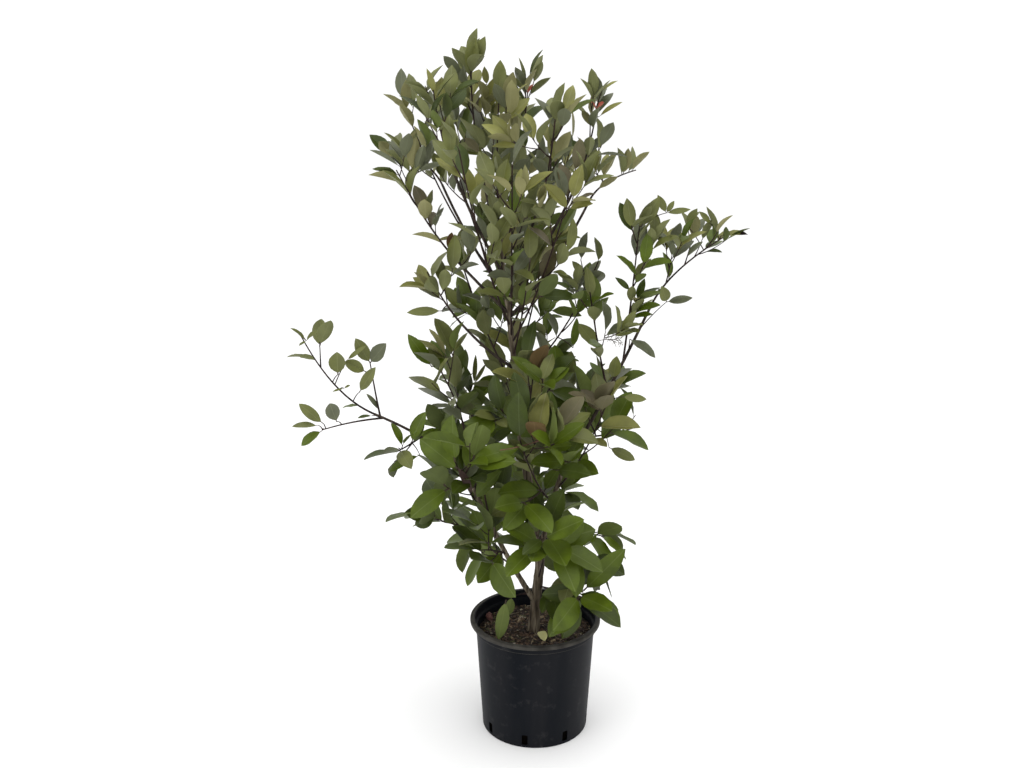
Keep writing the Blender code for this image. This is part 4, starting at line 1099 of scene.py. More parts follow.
cutter = bpy.data.objects.new("slot_cutter", mesh_of("slot_cutter", slot_mesh))
pot = bpy.data.objects.new("pot_blank", pot_data)
for thing in (cutter, pot):
    bpy.context.scene.collection.objects.link(thing)
cut = pot.modifiers.new("slots", "BOOLEAN")
cut.operation, cut.object, cut.solver = "DIFFERENCE", cutter, "EXACT"
evaluated = pot.evaluated_get(bpy.context.evaluated_depsgraph_get())
cut_data = bpy.data.meshes.new_from_object(evaluated)
for thing in (cutter, pot):
    bpy.data.objects.remove(thing)
print(SLOTS, "slots cut,", len(cut_data.polygons), "faces")

# %% [markdown]
# ## The pot's plastic
# Black polypropylene looks dark grey where the sky lies on it, with faint upright bands from the
# mould, dusty smears near the rim and a few pale scratches. One broad noise, stretched upright,
# gives the bands. Two finer ones, kept to a few spots by high thresholds, give dust and scuffs.
# The rim and the skirt's edge get a lighter, warmer grey, a finish of their own: partly rubbed
# wear, partly a painted highlight where light catches these edges.

# %% Finish of the pot
BANDS = (1.0, 1.0, 0.12)  # drawn out upwards
PLASTIC_SHEEN = 0.07
plastic = wandering_finish("black plastic", [(0.0030, 0.0043, 0.0068), (0.0096, 0.0100, 0.0122)], 14.0,
                           (0.42, 0.56), stretch=BANDS, bump=0.05, depth=0.0006)
# lighter, warmer grey of the rim and the skirt's edge: rubbed wear and painted highlight
rim_wear_and_highlight = wandering_finish("worn rim and painted highlight", [(0.0240, 0.0225, 0.0200), (0.0580, 0.0545, 0.0475)], 40.0,
                            (0.50, 0.64), bump=0.10, depth=0.0006)
pot_finishes = [set_sheen(finish, PLASTIC_SHEEN) for finish in (plastic, rim_wear_and_highlight)]


def add_dust(finish, tint, scale, low, high):
    """Lay a thin tint over a finish, in patches where a noise is high."""
    nodes, links = finish.node_tree.nodes, finish.node_tree.links
    place = nodes.new("ShaderNodeTexCoord")
    smears = nodes.new("ShaderNodeTexNoise")
    smears.inputs["Scale"].default_value = scale
    smears.inputs["Detail"].default_value = 8.0
    smears.inputs["Roughness"].default_value = 0.65
    amount = nodes.new("ShaderNodeMapRange")
    amount.inputs["From Min"].default_value, amount.inputs["From Max"].default_value = low, high
    links.new(place.outputs["Object"], smears.inputs["Vector"])
    links.new(smears.outputs["Fac"], amount.inputs["Value"])
    lay_over(finish, amount.outputs["Result"], tint)


add_dust(plastic, (0.044, 0.042, 0.043), 30.0, 0.57, 0.94)
add_dust(plastic, (0.090, 0.090, 0.100), 75.0, 0.70, 0.84)  # scuffs
add_dust(rim_wear_and_highlight, (0.060, 0.055, 0.050), 45.0, 0.55, 0.90)
print(len(pot_finishes), "finishes, the plain one with dust and scuffs")

# %% The finished pot
EDGE_HEIGHT, EDGE_OUT = 0.0013, 0.003  # what counts as the skirt's edge: a band, clear of the neck
# the rim and the skirt's edge take the lighter finish, with its painted highlight
for face in cut_data.polygons:
    height, out = face.center.z, face.center.to_2d().length
    on_rim = height > RIM_FOOT and out > SKIRT_RADIUS
    on_skirt_edge = abs(height - SKIRT_FOOT) < EDGE_HEIGHT and out > POT_NECK_RADIUS + EDGE_OUT
    face.material_index = int(on_rim or on_skirt_edge)
nursery_pot = finish_piece("nursery_pot", cut_data, pot_finishes, ["pot"])
weighted = nursery_pot.modifiers.new("weighted normals", "WEIGHTED_NORMAL")
weighted.keep_sharp = True

# %% [markdown]
# ## The potting mix
# The pot is filled with composted bark: dark brown crumbs with flakes of bark and wood on top,
# some pale, one reddish. Behind the drain slots it lies in shadow, and its sides there are painted
# nearly black: painted shade. A flat disc with a bump map looks painted. So the bed is a solid with
# a lumpy top, and hundreds of small flakes, joined in one mesh, lie on it.

# %% Bed of mix
SOIL_TOP, SOIL_FOOT = 0.235, 0.0046
SOIL_EDGE, SOIL_FOOT_RADIUS = inner_radius(SOIL_TOP) - 0.0004, inner_radius(POT_FLOOR) - 0.0006
LUMPS, CRUMBS, DIP = 0.0026, 0.0008, 0.0025  # heights: broad lumps, fine crumbs, dip at the wall
LUMP_REACH, CRUMB_REACH = 26, 170  # noise spots per metre
# below this depth the mix is painted nearly black: painted shade behind the drain slots
SHADE_DEPTH = 0.02  # from where on the mix is nearly black
BED_STEPS, BED_CUTS = 120, 48


def ground_at(x, y):
    """Height of the mix: lumpy, a little higher round the trunk and dipping to the wall."""
    out = min(1.0, math.hypot(x, y) / SOIL_EDGE)
    lumps = LUMPS * noise.fractal(Vector((x * LUMP_REACH, y * LUMP_REACH, 3.1)), 1.0, 2.1, 4)
    crumbs = CRUMBS * noise.noise(Vector((x * CRUMB_REACH, y * CRUMB_REACH, 7.7)))
    return SOIL_TOP - DIP * out**3 + lumps * (1 - out**6) + crumbs * (1 - out**6)


bed = spin_profile([(0, SOIL_TOP), (SOIL_EDGE, SOIL_TOP), (SOIL_FOOT_RADIUS, SOIL_FOOT),
                    (0, SOIL_FOOT)], BED_STEPS)
top_edges = [edge for edge in bed.edges if all(vert.co.z > SOIL_TOP - 1e-6 for vert in edge.verts)
             and abs(edge.verts[0].co.to_2d().length - edge.verts[1].co.to_2d().length) > 0.05]
bmesh.ops.subdivide_edges(bed, edges=top_edges, cuts=BED_CUTS, use_grid_fill=True)
for vert in bed.verts:
    if vert.co.z > SOIL_TOP - 1e-6:
        vert.co.z = ground_at(vert.co.x, vert.co.y)
# faces deep in the pot take the nearly black finish, painted shade behind the drain slots
for face in bed.faces:
    face.material_index = int(face.calc_center_median().z < SOIL_TOP - SHADE_DEPTH)
print("bed of", len(bed.faces), "faces, top at", SOIL_TOP, "m")

# %% Finishes of the mix
# nearly black: painted shade where the mix lies behind the drain slots
painted_shade_mix = wandering_finish("painted shade mix", [(0.002, 0.002, 0.002), (0.004, 0.003, 0.002)], 90.0,
                            (0.9, 1.0))
dry_mix = wandering_finish(
    "composted bark", [(0.008, 0.005, 0.003), (0.028, 0.017, 0.009), (0.070, 0.045, 0.022)], 260.0,
    (0.85, 0.98), bump=0.9, depth=0.003)
finish_piece("potting_mix", mesh_of("potting_mix", bed), [dry_mix, set_sheen(painted_shade_mix, 0.0)],
             ["soil"])

# %% Many small things joined in one mesh
def corners_of(mesh):
    """The points of a mesh as the rows of an array."""
    corners = np.empty(len(mesh.vertices) * 3)
    mesh.vertices.foreach_get("co", corners)
    return corners.reshape(-1, 3)


def join_copies(name, template, places, indices):
    """One mesh of a template's copies, each with its own 4x4 place and its own material."""
    count = len(template.vertices)
    corners = np.c_[corners_of(template), np.ones(count)]
    moved = np.einsum("nij,vj->nvi", np.array(places), corners)[..., :3]
    faces = [tuple(face.vertices) for face in template.polygons]
    mesh = bpy.data.meshes.new(name)
    mesh.from_pydata(moved.reshape(-1, 3), [],
                     [tuple(corner + n * count for corner in face)
                      for n in range(len(places)) for face in faces])
    mesh.polygons.foreach_set("material_index", np.repeat(indices, len(faces)))
    mesh.update()
    return mesh


FLAKE_BEVEL, FLAKE_CRUMPLE = 0.16, 0.16  # on a flake one unit long
flake_bm = bmesh.new()
bmesh.ops.create_cube(flake_bm, size=1.0)
bmesh.ops.bevel(flake_bm, geom=list(flake_bm.edges), offset=FLAKE_BEVEL, offset_type="OFFSET", segments=1,
                profile=0.5, affect="EDGES", material=-1)
for vert in flake_bm.verts:
    vert.co += noise.noise_vector(vert.co * 1.9) * FLAKE_CRUMPLE
flake = mesh_of("flake", flake_bm)
print("flake of", len(flake.polygons), "faces")

# %% Places of the flakes
FLAKES = 2600
FLAKE_LENGTHS, FLAKE_WIDTHS, FLAKE_HEIGHTS = (0.003, 0.018), (0.2, 0.6), (0.0008, 0.003)
FLAKE_CHANCES = (50, 32, 10, 2, 6)  # dark bark, brown bark, wood, grit, mossy bark
FLAKE_SHORTER, FLAKE_TIPS, FLAKE_LIFT = (0.35, 1.0), (0.35, 0.3), (0.0002, 0.002)
TRUNK_CLEARING, WALL_CLEARING = 0.018, 0.001
rng = random.Random(11)
trunk_foot = Vector(TRUNK_COURSE[0])
flake_places, flake_tints = [], []
while len(flake_places) < FLAKES:
    turn, out = rng.uniform(0, 2 * math.pi), SOIL_EDGE * math.sqrt(rng.random())
    length = rng.uniform(*FLAKE_LENGTHS) * rng.uniform(*FLAKE_SHORTER)
    x, y = out * math.cos(turn), out * math.sin(turn)
    near_wall = out + length / 2 > SOIL_EDGE - WALL_CLEARING
    if near_wall or math.hypot(x - trunk_foot.x, y) < TRUNK_CLEARING:
        continue
    lie = Matrix.Rotation(rng.uniform(0, 2 * math.pi), 4, "Z")
    tips = [rng.gauss(0, angle) for angle in FLAKE_TIPS]
    tip = Matrix.Rotation(tips[0], 4, "X") @ Matrix.Rotation(tips[1], 4, "Y")
    width, height = length * rng.uniform(*FLAKE_WIDTHS), rng.uniform(*FLAKE_HEIGHTS)
    size = Matrix.Diagonal((length, width, height, 1))
    place = Matrix.Translation((x, y, ground_at(x, y) + rng.uniform(*FLAKE_LIFT)))
    flake_places.append([list(row) for row in place @ lie @ tip @ size])
    flake_tints.append(rng.choices(range(len(FLAKE_CHANCES)), FLAKE_CHANCES)[0])
print(len(flake_places), "flakes lie on the mix")

# %% Flakes of bark
FLAKE_TINTS = {  # darkest and lightest
    "dark bark flake": ((0.011, 0.007, 0.006), (0.040, 0.023, 0.017)),
    "brown bark flake": ((0.044, 0.025, 0.016), (0.125, 0.076, 0.045)),
    "tan wood flake": ((0.150, 0.105, 0.060), (0.270, 0.205, 0.125)),
    "pale grit": ((0.22, 0.19, 0.14), (0.38, 0.34, 0.26)),
    "mossy flake": ((0.040, 0.044, 0.012), (0.080, 0.082, 0.028)),
}
flake_finishes = [wandering_finish(name, tints, 300.0, (0.80, 0.95))
                  for name, tints in FLAKE_TINTS.items()]
finish_piece("bark_flakes", join_copies("bark_flakes", flake, flake_places, flake_tints),
             flake_finishes, ["soil"], sharp=20)

# %% [markdown]
# ## Wood
# A photinia's trunk is grey-brown with long shallow ridges, and its boughs are smoother, darker
# and a little swollen where a shoot leaves. A curve with a round bevel gives an even, tapering
# tube in one step. Its points are then pushed out or in along their normals by a noise that is
# stretched along the limb, which makes the ridges real geometry, not only a bump.

# %% Tubes along lines
def tube_mesh(line, radii, sides):
    """A tapering round tube along a line, closed at both ends."""
    curve = bpy.data.curves.new("line", "CURVE")
    curve.dimensions, curve.use_fill_caps = "3D", True
    curve.bevel_depth, curve.bevel_resolution = 1.0, (sides - 4) // 2
    spline = curve.splines.new("POLY")
    spline.points.add(len(line) - 1)
    for point, place, radius in zip(spline.points, line, radii):
        point.co, point.radius = (*place, 1.0), radius
    guide = bpy.data.objects.new("line", curve)
    bpy.context.scene.collection.objects.link(guide)
    depsgraph = bpy.context.evaluated_depsgraph_get()
    mesh = bpy.data.meshes.new_from_object(guide.evaluated_get(depsgraph))
    bpy.data.objects.remove(guide)
    return mesh


def add_tube(bm, line, radii, sides, ridges=0.0, reach=(1, 1, 1)):
    """Add a tube to a bmesh, with ridges that run along it."""
    known = len(bm.verts)
    bm.from_mesh(tube_mesh(line, radii, sides))
    bm.verts.ensure_lookup_table()
    fresh = bm.verts[known:]
    if ridges:
        bm.normal_update()
        stretch = Vector(reach)
        for vert in fresh:
            spot = vert.co * stretch
            push = noise.fractal(spot, 0.8, 2.2, 4) + 0.5 * noise.noise(vert.co * 90)
            vert.co += vert.normal * ridges * push
    return fresh


def finer(line, radii, step):
    """A line and its radii with points about a step apart."""
    count = max(2, round(length_of(line) / step))
    shares = [n / count for n in range(count + 1)]
    places = [along_line(line, share)[0] for share in shares]
    known = np.linspace(0, 1, len(radii))
    return places, list(np.interp(shares, known, radii))


print("the trunk's line is", round(length_of(fine_lines["trunk"]), 3), "m long")

# %% Trunk, stems and boughs
THICK_RIDGES = {"trunk": 0.0011, "left_stem": 0.0006, "right_stem": 0.0006}  # their height
THIN_RIDGES = 0.0002
RIDGE_REACH = (230, 230, 30)  # close together round a limb and long along it
THICK_STEP, THIN_STEP, THICK_SIDES, THIN_SIDES = 0.004, 0.006, 24, 12
COLLAR, COLLAR_FADE = 0.0009, 0.35  # the swelling where a limb starts
WOOD_FOOT = 0.2335  # below the top of the mix, so the cut doesn't show
fine_radii = draw_radii(fine_lines)
wood = bmesh.new()
for name in ["trunk", *(limb.name for limb in LIMBS)]:
    thick = name in THICK_RIDGES
    line, radii = finer(fine_lines[name], fine_radii[name], THICK_STEP if thick else THIN_STEP)
    radii = [radius + COLLAR * math.exp(-n * COLLAR_FADE) for n, radius in enumerate(radii)]
    sides, ridges = THICK_SIDES if thick else THIN_SIDES, THICK_RIDGES.get(name, THIN_RIDGES)
    fresh = add_tube(wood, line, radii, sides, ridges, RIDGE_REACH)
    for face in {face for vert in fresh for face in vert.link_faces}:
        face.material_index = 0 if thick else 1
bmesh.ops.bisect_plane(wood, geom=[*wood.verts, *wood.edges, *wood.faces], dist=1e-6,
                       plane_co=(0, 0, WOOD_FOOT), plane_no=(0, 0, 1), clear_inner=True)
print(len(LIMBS) + 1, "limbs in one mesh of", len(wood.faces), "faces")

# %% Bark
BARK_SHEEN = 0.15  # dry and dull
trunk_bark = wandering_finish(
    "grey-brown bark", [(0.026, 0.019, 0.013), (0.096, 0.076, 0.052), (0.230, 0.195, 0.145)], 55.0,
    (0.78, 0.92), stretch=(3.6, 3.6, 0.30), bump=0.8, depth=0.0015)
bough_bark = wandering_finish(
    "dark brown bark", [(0.014, 0.010, 0.008), (0.036, 0.027, 0.021), (0.068, 0.052, 0.040)], 55.0,
    (0.70, 0.86), stretch=(2.2, 2.2, 0.35), bump=0.6, depth=0.001)
barks = [set_sheen(finish, BARK_SHEEN) for finish in (trunk_bark, bough_bark)]
finish_piece("trunk_and_boughs", mesh_of("trunk_and_boughs", wood), barks,
             ["trunk", *(limb.name for limb in LIMBS)])

# %% [markdown]
# ## Twigs
# Young photinia wood is dark purple-brown. Each mass's stem, its twigs and its finer shoots are
# thin tubes too, with fewer sides, all in one mesh. They could be separate objects, but hundreds
# of them would make the part heavy to handle and no better to look at.

# %% Twigs
STEM_ENDS, TWIG_ENDS, FINE_ENDS = (STEM_RADII[0], 0.0013), (0.0017, 0.0009), (0.0013, 0.0008)
STEM_SIDES, TWIG_SIDES = 8, 6
twig_bm = bmesh.new()
for mass in MASSES:
    for n, shoot in enumerate(shoots[mass.name]):
        ends = STEM_ENDS if n == 0 else FINE_ENDS if shoot.share is None else TWIG_ENDS
        sides = STEM_SIDES if n == 0 else TWIG_SIDES
        add_tube(twig_bm, shoot.line, tapered(ends, shoot.line), sides)
mass_nodes = ["foliage_" + mass.name for mass in MASSES]
young_bark = wandering_finish("purple-brown bark", [(0.012, 0.007, 0.006), (0.040, 0.022, 0.018)], 60.0,
                              (0.55, 0.75), bump=0.3, depth=0.0006)
set_sheen(young_bark, BARK_SHEEN)
finish_piece("twigs", mesh_of("twigs", twig_bm), [young_bark], mass_nodes)

# %% [markdown]
# ## One leaf
# A photinia leaf is leathery: a short stalk, pointed at both ends, folded a little along its
# midrib, its edge wavy and its tip turned down. It could be a card with a picture of a leaf, but a
# card has no edge when it is seen from the side. This leaf is a grid, two faces wide, drawn out to
# the leaf's outline and given a thickness. A UV map keeps each point's place on the flat leaf, for
# the veins.

# %% Leaf template
LEAF_OUTLINE = (  # share of the length, half width as a share of the greatest
    (0.0, 0.09), (0.09, 0.075), (0.16, 0.40), (0.28, 0.78), (0.42, 0.98), (0.56, 1.0),
    (0.70, 0.84), (0.83, 0.53), (0.93, 0.21), (1.0, 0.012),
)
PETIOLE = LEAF_OUTLINE[1][0]
BLADE_THICKNESS = 0.006  # of the leaf's length
leaf_bm = bmesh.new()
leaf_rows = len(LEAF_OUTLINE) - 1
bmesh.ops.create_grid(leaf_bm, x_segments=2, y_segments=leaf_rows, size=0.5)
for vert in leaf_bm.verts:
    share, half = LEAF_OUTLINE[round((vert.co.y + 0.5) * leaf_rows)]
    vert.co = (vert.co.x * half, share, 0)
bmesh.ops.solidify(leaf_bm, geom=leaf_bm.faces[:], thickness=BLADE_THICKNESS)
leaf_bm.normal_update()
flat_leaf = leaf_bm.loops.layers.uv.new("flat leaf")
for face in leaf_bm.faces:
    face.material_index = 1 if face.normal.z < -0.5 else 0
    for loop in face.loops:
        loop[flat_leaf].uv = (loop.vert.co.x + 0.5, loop.vert.co.y)
leaf_template = mesh_of("leaf_template", leaf_bm)
print("leaf of", len(leaf_template.polygons), "faces")

# %% [markdown]
# ## Bending each leaf its own way
# Copies of one leaf look like copies. Every leaf here gets its own fold, droop, twist and wave,
# worked out on all of its points at once, and then its place on its shoot. Old leaves low on the
# shrub hang, lie flat and have blunt ends, and young ones at its top are slim, folded and stand up.

# %% Leaf shapes
FOLDS, DROOPS = ((0.14, 0.45), (0.28, 0.70)), ((0.12, 0.50), (0.06, 0.36))  # low down, at the top
TWIST, WAVE, WAVES = 0.35, 0.05, 15
DROOP_TURN, DROOP_FALL, DROOP_PULL = 1.2, 0.5, 0.12  # a drooping leaf turns, falls and shortens
BLUNT_SHARES = (0.0, 0.56, 0.70, 0.83, 0.93, 1.0)  # of the length
BLUNT_WIDTHS = (1.0, 1.0, 1.10, 1.32, 1.75, 1.0)  # how much wider a low leaf is there
TOP_POINTEDNESS = 0.7  # how much of that a leaf at the top lacks


def leaf_points(template, leaf, rng):
    """A leaf's points in place, bent by its own fold, droop, twist and wave."""
    high = rng.random() < height_share(leaf.root.z)
    fold, droop = rng.uniform(*FOLDS[high]), rng.uniform(*DROOPS[high])
    twist, wave = rng.uniform(-TWIST, TWIST), rng.uniform(0.0, WAVE)
    x, y, z = template[:, 0] * leaf.width / leaf.length, template[:, 1], template[:, 2]
    blunt = np.interp(y, BLUNT_SHARES, BLUNT_WIDTHS) - 1
    x = x * (1 + blunt * (1 - TOP_POINTEDNESS * height_share(leaf.root.z)))
    blade = np.maximum(0, y - PETIOLE)
    z = z + np.abs(x) * fold + wave * np.sin(blade * WAVES + rng.uniform(0, 6)) * x * 2
    turn = twist * blade
    x, z = x * np.cos(turn) - z * np.sin(turn), x * np.sin(turn) + z * np.cos(turn)
    angle, bow = droop * y * DROOP_TURN, droop * y**2
    y, z = y - DROOP_PULL * bow + z * np.sin(angle), z * np.cos(angle) - DROOP_FALL * bow
    axes = np.array([leaf.along.cross(leaf.face), leaf.along, leaf.face])
    return np.array(leaf.root) + (np.c_[x, y, z] * leaf.length) @ axes


print("bending", len(leaf_template.vertices), "points for each leaf")

# %% Many leaves in one mesh
LEAF_SHARP = 60  # degrees: only a blade's edge stays sharp


def deal_leaves(name, batch):
    """Join a batch of leaves, each with the number of its tint, in one mesh."""
    corners = corners_of(leaf_template)
    count = len(corners)
    faces = [tuple(face.vertices) for face in leaf_template.polygons]
    sides = np.array([face.material_index for face in leaf_template.polygons])
    flat = np.empty(len(leaf_template.loops) * 2)
    leaf_template.uv_layers[0].data.foreach_get("uv", flat)
    points, all_faces, indices = [], [], []
    for n, (leaf, tint, seed) in enumerate(batch):
        points.append(leaf_points(corners, leaf, random.Random(seed)))
        all_faces += [tuple(corner + n * count for corner in face) for face in faces]
        indices.append(sides + tint * 2)
    mesh = bpy.data.meshes.new(name)
    mesh.from_pydata(np.concatenate(points), [], all_faces)
    mesh.polygons.foreach_set("material_index", np.concatenate(indices))
    mesh.uv_layers.new(name="flat leaf").data.foreach_set("uv", np.tile(flat, len(batch)))
    mesh.update()
    return mesh


def finish_leaves(name, batch, finishes, nodes):
    """Make one piece of a batch of leaves."""
    return finish_piece(name, deal_leaves(name, batch), finishes, nodes, sharp=LEAF_SHARP)


print("edges that turn by more than", LEAF_SHARP, "degrees stay sharp on a leaf")

# %% [markdown]
# ## Finishes of the leaves
# From above the blade is leathery green, a little patchy, with a thin pale midrib and faint side
# veins that run forward from it. Below it is paler and matt, and the stalk is dark. The veins and
# the stalk are drawn by arithmetic on the flat leaf's coordinates, so they keep their width and
# their slant however a leaf is bent.

# %% Arithmetic on the flat leaf
def sum_node(nodes, links, kind, first, second):
    """A Math node on two sockets or numbers, and its result."""
    node = nodes.new("ShaderNodeMath")
    node.operation = kind
    for socket, value in zip(node.inputs, (first, second)):
        if isinstance(value, (int, float)):
            socket.default_value = value
        elif value is not None:
            links.new(value, socket)
    return node.outputs["Value"]


def edge_node(nodes, links, value, start, end):
    """0 up to the start, 1 from the end on, and smooth between them."""
    node = nodes.new("ShaderNodeMapRange")
    node.interpolation_type = "SMOOTHSTEP"
    node.inputs["From Min"].default_value, node.inputs["From Max"].default_value = start, end
    links.new(value, node.inputs["Value"])
    return node.outputs["Result"]


def flat_place(nodes, links):
    """The place across a leaf, which is 0.5 on its midrib, and the place along it."""
    flat = nodes.new("ShaderNodeUVMap")
    flat.uv_map = "flat leaf"
    split = nodes.new("ShaderNodeSeparateXYZ")
    links.new(flat.outputs["UV"], split.inputs["Vector"])
    return split.outputs["X"], split.outputs["Y"]


print("the flat leaf has", len(leaf_template.loops), "corners")

# %% Veins
RIB_EDGES = (0.010, 0.026)  # of the leaf's width from its middle
VEINS, VEIN_SLANT, VEIN_EDGES = 10, 0.42, (0.90, 1.0)
STALK_TINT, STALK_END = (0.050, 0.036, 0.024), (0.085, 0.130)  # the end as shares of the length


def add_veins(finish, rib, strength, vein_share):
    """Lay a midrib, side veins and a dark stalk over a leaf's finish."""
    nodes, links = finish.node_tree.nodes, finish.node_tree.links
    across, along = flat_place(nodes, links)
    out = sum_node(nodes, links, "SUBTRACT", across, 0.5)
    out = sum_node(nodes, links, "ABSOLUTE", out, None)
    beside = edge_node(nodes, links, out, *RIB_EDGES)
    midrib = sum_node(nodes, links, "SUBTRACT", 1.0, beside)
    back = sum_node(nodes, links, "MULTIPLY", out, VEIN_SLANT)
    run = sum_node(nodes, links, "SUBTRACT", along, back)
    wave = sum_node(nodes, links, "MULTIPLY", run, 2 * math.pi * VEINS)
    wave = sum_node(nodes, links, "COSINE", wave, None)
    veins = sum_node(nodes, links, "MULTIPLY", edge_node(nodes, links, wave, *VEIN_EDGES), vein_share)
    lines = sum_node(nodes, links, "MAXIMUM", midrib, veins)
    lay_over(finish, sum_node(nodes, links, "MULTIPLY", lines, strength), rib)
    blade = edge_node(nodes, links, along, *STALK_END)
    lay_over(finish, sum_node(nodes, links, "SUBTRACT", 1.0, blade), STALK_TINT)


print("a leaf has", VEINS, "pairs of side veins")

# %% The two sides of a leaf
LEAF_SHEEN = 0.26  # leathery, not wet
PATCHES = 26.0  # scale of the noise that wanders through a leaf's tint
UPPER_SHARES, UNDER_SHARES, UNDER_RIB = (0.78, 1.0, 1.25), (0.88, 1.14), 1.1
UNDER_GLOSS, GLOSS_SPREAD = (0.58, 0.72), 0.14
UPPER_VEINS, UNDER_VEINS = (0.5, 0.25), (0.6, 0.35)  # strength of the rib, share of the side veins


def shades(tint, shares):
    """Darker and lighter versions of a tint."""
    return [tuple(channel * share for channel in tint) for share in shares]


def leaf_finishes(name, above, below, rib, gloss, sheen=LEAF_SHEEN):
    """The upper and the under side of one tint of leaf."""
    upper = wandering_finish(name + " above", shades(above, UPPER_SHARES), PATCHES,
                             (gloss, gloss + GLOSS_SPREAD), bump=0.15, depth=0.001)
    add_veins(upper, rib, *UPPER_VEINS)
    under = wandering_finish(name + " below", shades(below, UNDER_SHARES), PATCHES, UNDER_GLOSS,
                             bump=0.10, depth=0.001)
    add_veins(under, *shades(rib, [UNDER_RIB]), *UNDER_VEINS)
    return [set_sheen(finish, sheen) for finish in (upper, under)]


print("an upper side wanders from", UPPER_SHARES[0], "to", UPPER_SHARES[-1], "of its tint")

# %% Tints
LEAF_TINTS = {  # above, below, rib, gloss, sheen
    "olive": ((0.108, 0.119, 0.028), (0.142, 0.154, 0.056), (0.170, 0.182, 0.074), 0.40, 0.36),
    # grey green: a leaf's own green, greyed and blued partly by a painted reflection of the pale sky
    "grey green with painted sheen": ((0.086, 0.096, 0.049), (0.118, 0.130, 0.072), (0.144, 0.156, 0.092), 0.36, 0.38),
    "mid green": ((0.064, 0.094, 0.004), (0.096, 0.124, 0.027), (0.118, 0.155, 0.037), 0.36, 0.24),
    "dark green": ((0.036, 0.053, 0.004), (0.078, 0.098, 0.028), (0.080, 0.104, 0.032), 0.34, 0.24),
    "yellow olive": ((0.172, 0.174, 0.042), (0.216, 0.208, 0.088), (0.240, 0.232, 0.108), 0.42, 0.30),
    "plum olive": ((0.092, 0.078, 0.036), (0.118, 0.107, 0.054), (0.138, 0.113, 0.066), 0.40, 0.30),
    "rust": ((0.088, 0.045, 0.014), (0.120, 0.078, 0.032), (0.140, 0.095, 0.042), 0.44, 0.20),
}
TINT_NAMES = list(LEAF_TINTS)
finishes = [finish for name in TINT_NAMES for finish in leaf_finishes(name, *LEAF_TINTS[name])]
print(len(TINT_NAMES), "tints,", len(finishes), "finishes")

# %% [markdown]
# ## Dealing out the leaves
# Low on the shrub the leaves are broad, fresh green and old. Towards the top they are smaller,
# slimmer, olive and grey-green, with some yellowish ones, and a few are plum or rust. The height
# decides how likely each tint is, and the leaves of one shoot, which opened in the same weeks,
# mostly share one. Some sprays have a tint of their own, where the photograph shows leaves that
# opened bronze and single old ones gone rusty. Other sprays are greener, darker or greyer than those
# beside them: that is painted light and shade, for leaves that stand in more light or shade.

# %% Chances and sprays
TINT_CHANCES = (  # low down and at the top, in the order of the tints
    (0.06, 0.02, 0.66, 0.26, 0.0, 0.0, 0.0),
    (0.46, 0.24, 0.06, 0.04, 0.17, 0.02, 0.004),
)
TINT_RISE = 1.1  # above 1, the tints of the top come in late
# green, olive and grey sprays are painted light and shade: darker where leaves stand in shade, lighter
# where they stand in light; plum and rust sprays are the leaves' own colour
TINT_AND_SHADE_SPRAYS = (  # place, reach, tint
    ((0.068, -0.165, 0.835), 0.036, "plum olive"), ((0.120, -0.125, 0.850), 0.036, "plum olive"),
    ((0.031, -0.170, 0.791), 0.020, "plum olive"), ((0.004, -0.108, 0.916), 0.006, "rust"),
    ((-0.005, -0.200, 0.791), 0.006, "rust"), ((0.320, -0.020, 1.165), 0.030, "yellow olive"),
    ((-0.030, -0.165, 0.600), 0.050, "mid green"), ((-0.070, -0.160, 0.410), 0.045, "mid green"),
    ((-0.130, 0.020, 1.535), 0.055, "olive"), ((-0.415, -0.090, 0.905), 0.085, "olive"),
    ((-0.432, -0.092, 0.794), 0.015, "grey green with painted sheen"), ((-0.132, 0.088, 0.835), 0.016, "olive"),
    ((-0.100, 0.040, 1.450), 0.045, "yellow olive"), ((-0.196, -0.053, 1.453), 0.030, "yellow olive"),
    ((-0.174, -0.200, 1.360), 0.045, "olive"), ((0.068, -0.177, 0.696), 0.030, "dark green"),
    ((0.062, -0.079, 0.683), 0.035, "dark green"),
)


def spray_tint(leaf):
    """The number of the tint of the spray that a leaf is in, or None."""
    middle = leaf.root + leaf.along * leaf.length / 2
    for place, reach, tint in TINT_AND_SHADE_SPRAYS:
        if (middle - Vector(place)).length < reach:
            return TINT_NAMES.index(tint)
    return None


def pick_tint(height, rng):
    """A tint's number for a height above the ground."""
    share = height_share(height) ** TINT_RISE
    chances = [low + (high - low) * share for low, high in zip(*TINT_CHANCES)]
    return rng.choices(range(len(chances)), chances)[0]


print(len(TINT_AND_SHADE_SPRAYS), "sprays have a tint of their own")

# %% Leaves on their shoots
TOP_SLIMNESS = 0.24  # how much slimmer a leaf is at the top
TINT_PLACE, SAME_TINT = 0.8, 0.7  # where on a shoot its tint is picked, and a leaf's chance of it
GROUP_TOPS = {"leaves_low": 0.72, "leaves_middle": 1.02, "leaves_crown": 1.33, "leaves_top": 2.0}
groups = {name: [] for name in GROUP_TOPS}
group_nodes = {name: [] for name in groups}
for mass in MASSES:
    group = next(name for name, top in GROUP_TOPS.items() if mass.tip[2] < top)
    group_nodes[group].append("foliage_" + mass.name)
    for n, shoot in enumerate(shoots[mass.name]):
        rng = random.Random(mass.seed * 100 + n)
        tint = pick_tint(along_line(shoot.line, TINT_PLACE)[0].z, rng)
        for leaf in shoot.leaves:
            own = tint if rng.random() < SAME_TINT else pick_tint(leaf.root.z, rng)
            own = own if spray_tint(leaf) is None else spray_tint(leaf)
            slim = leaf._replace(width=leaf.width * (1 - TOP_SLIMNESS * height_share(leaf.root.z)))
            groups[group].append((slim, own, rng.randrange(10**6)))
for name, batch in groups.items():
    finish_leaves(name, batch, finishes, group_nodes[name])

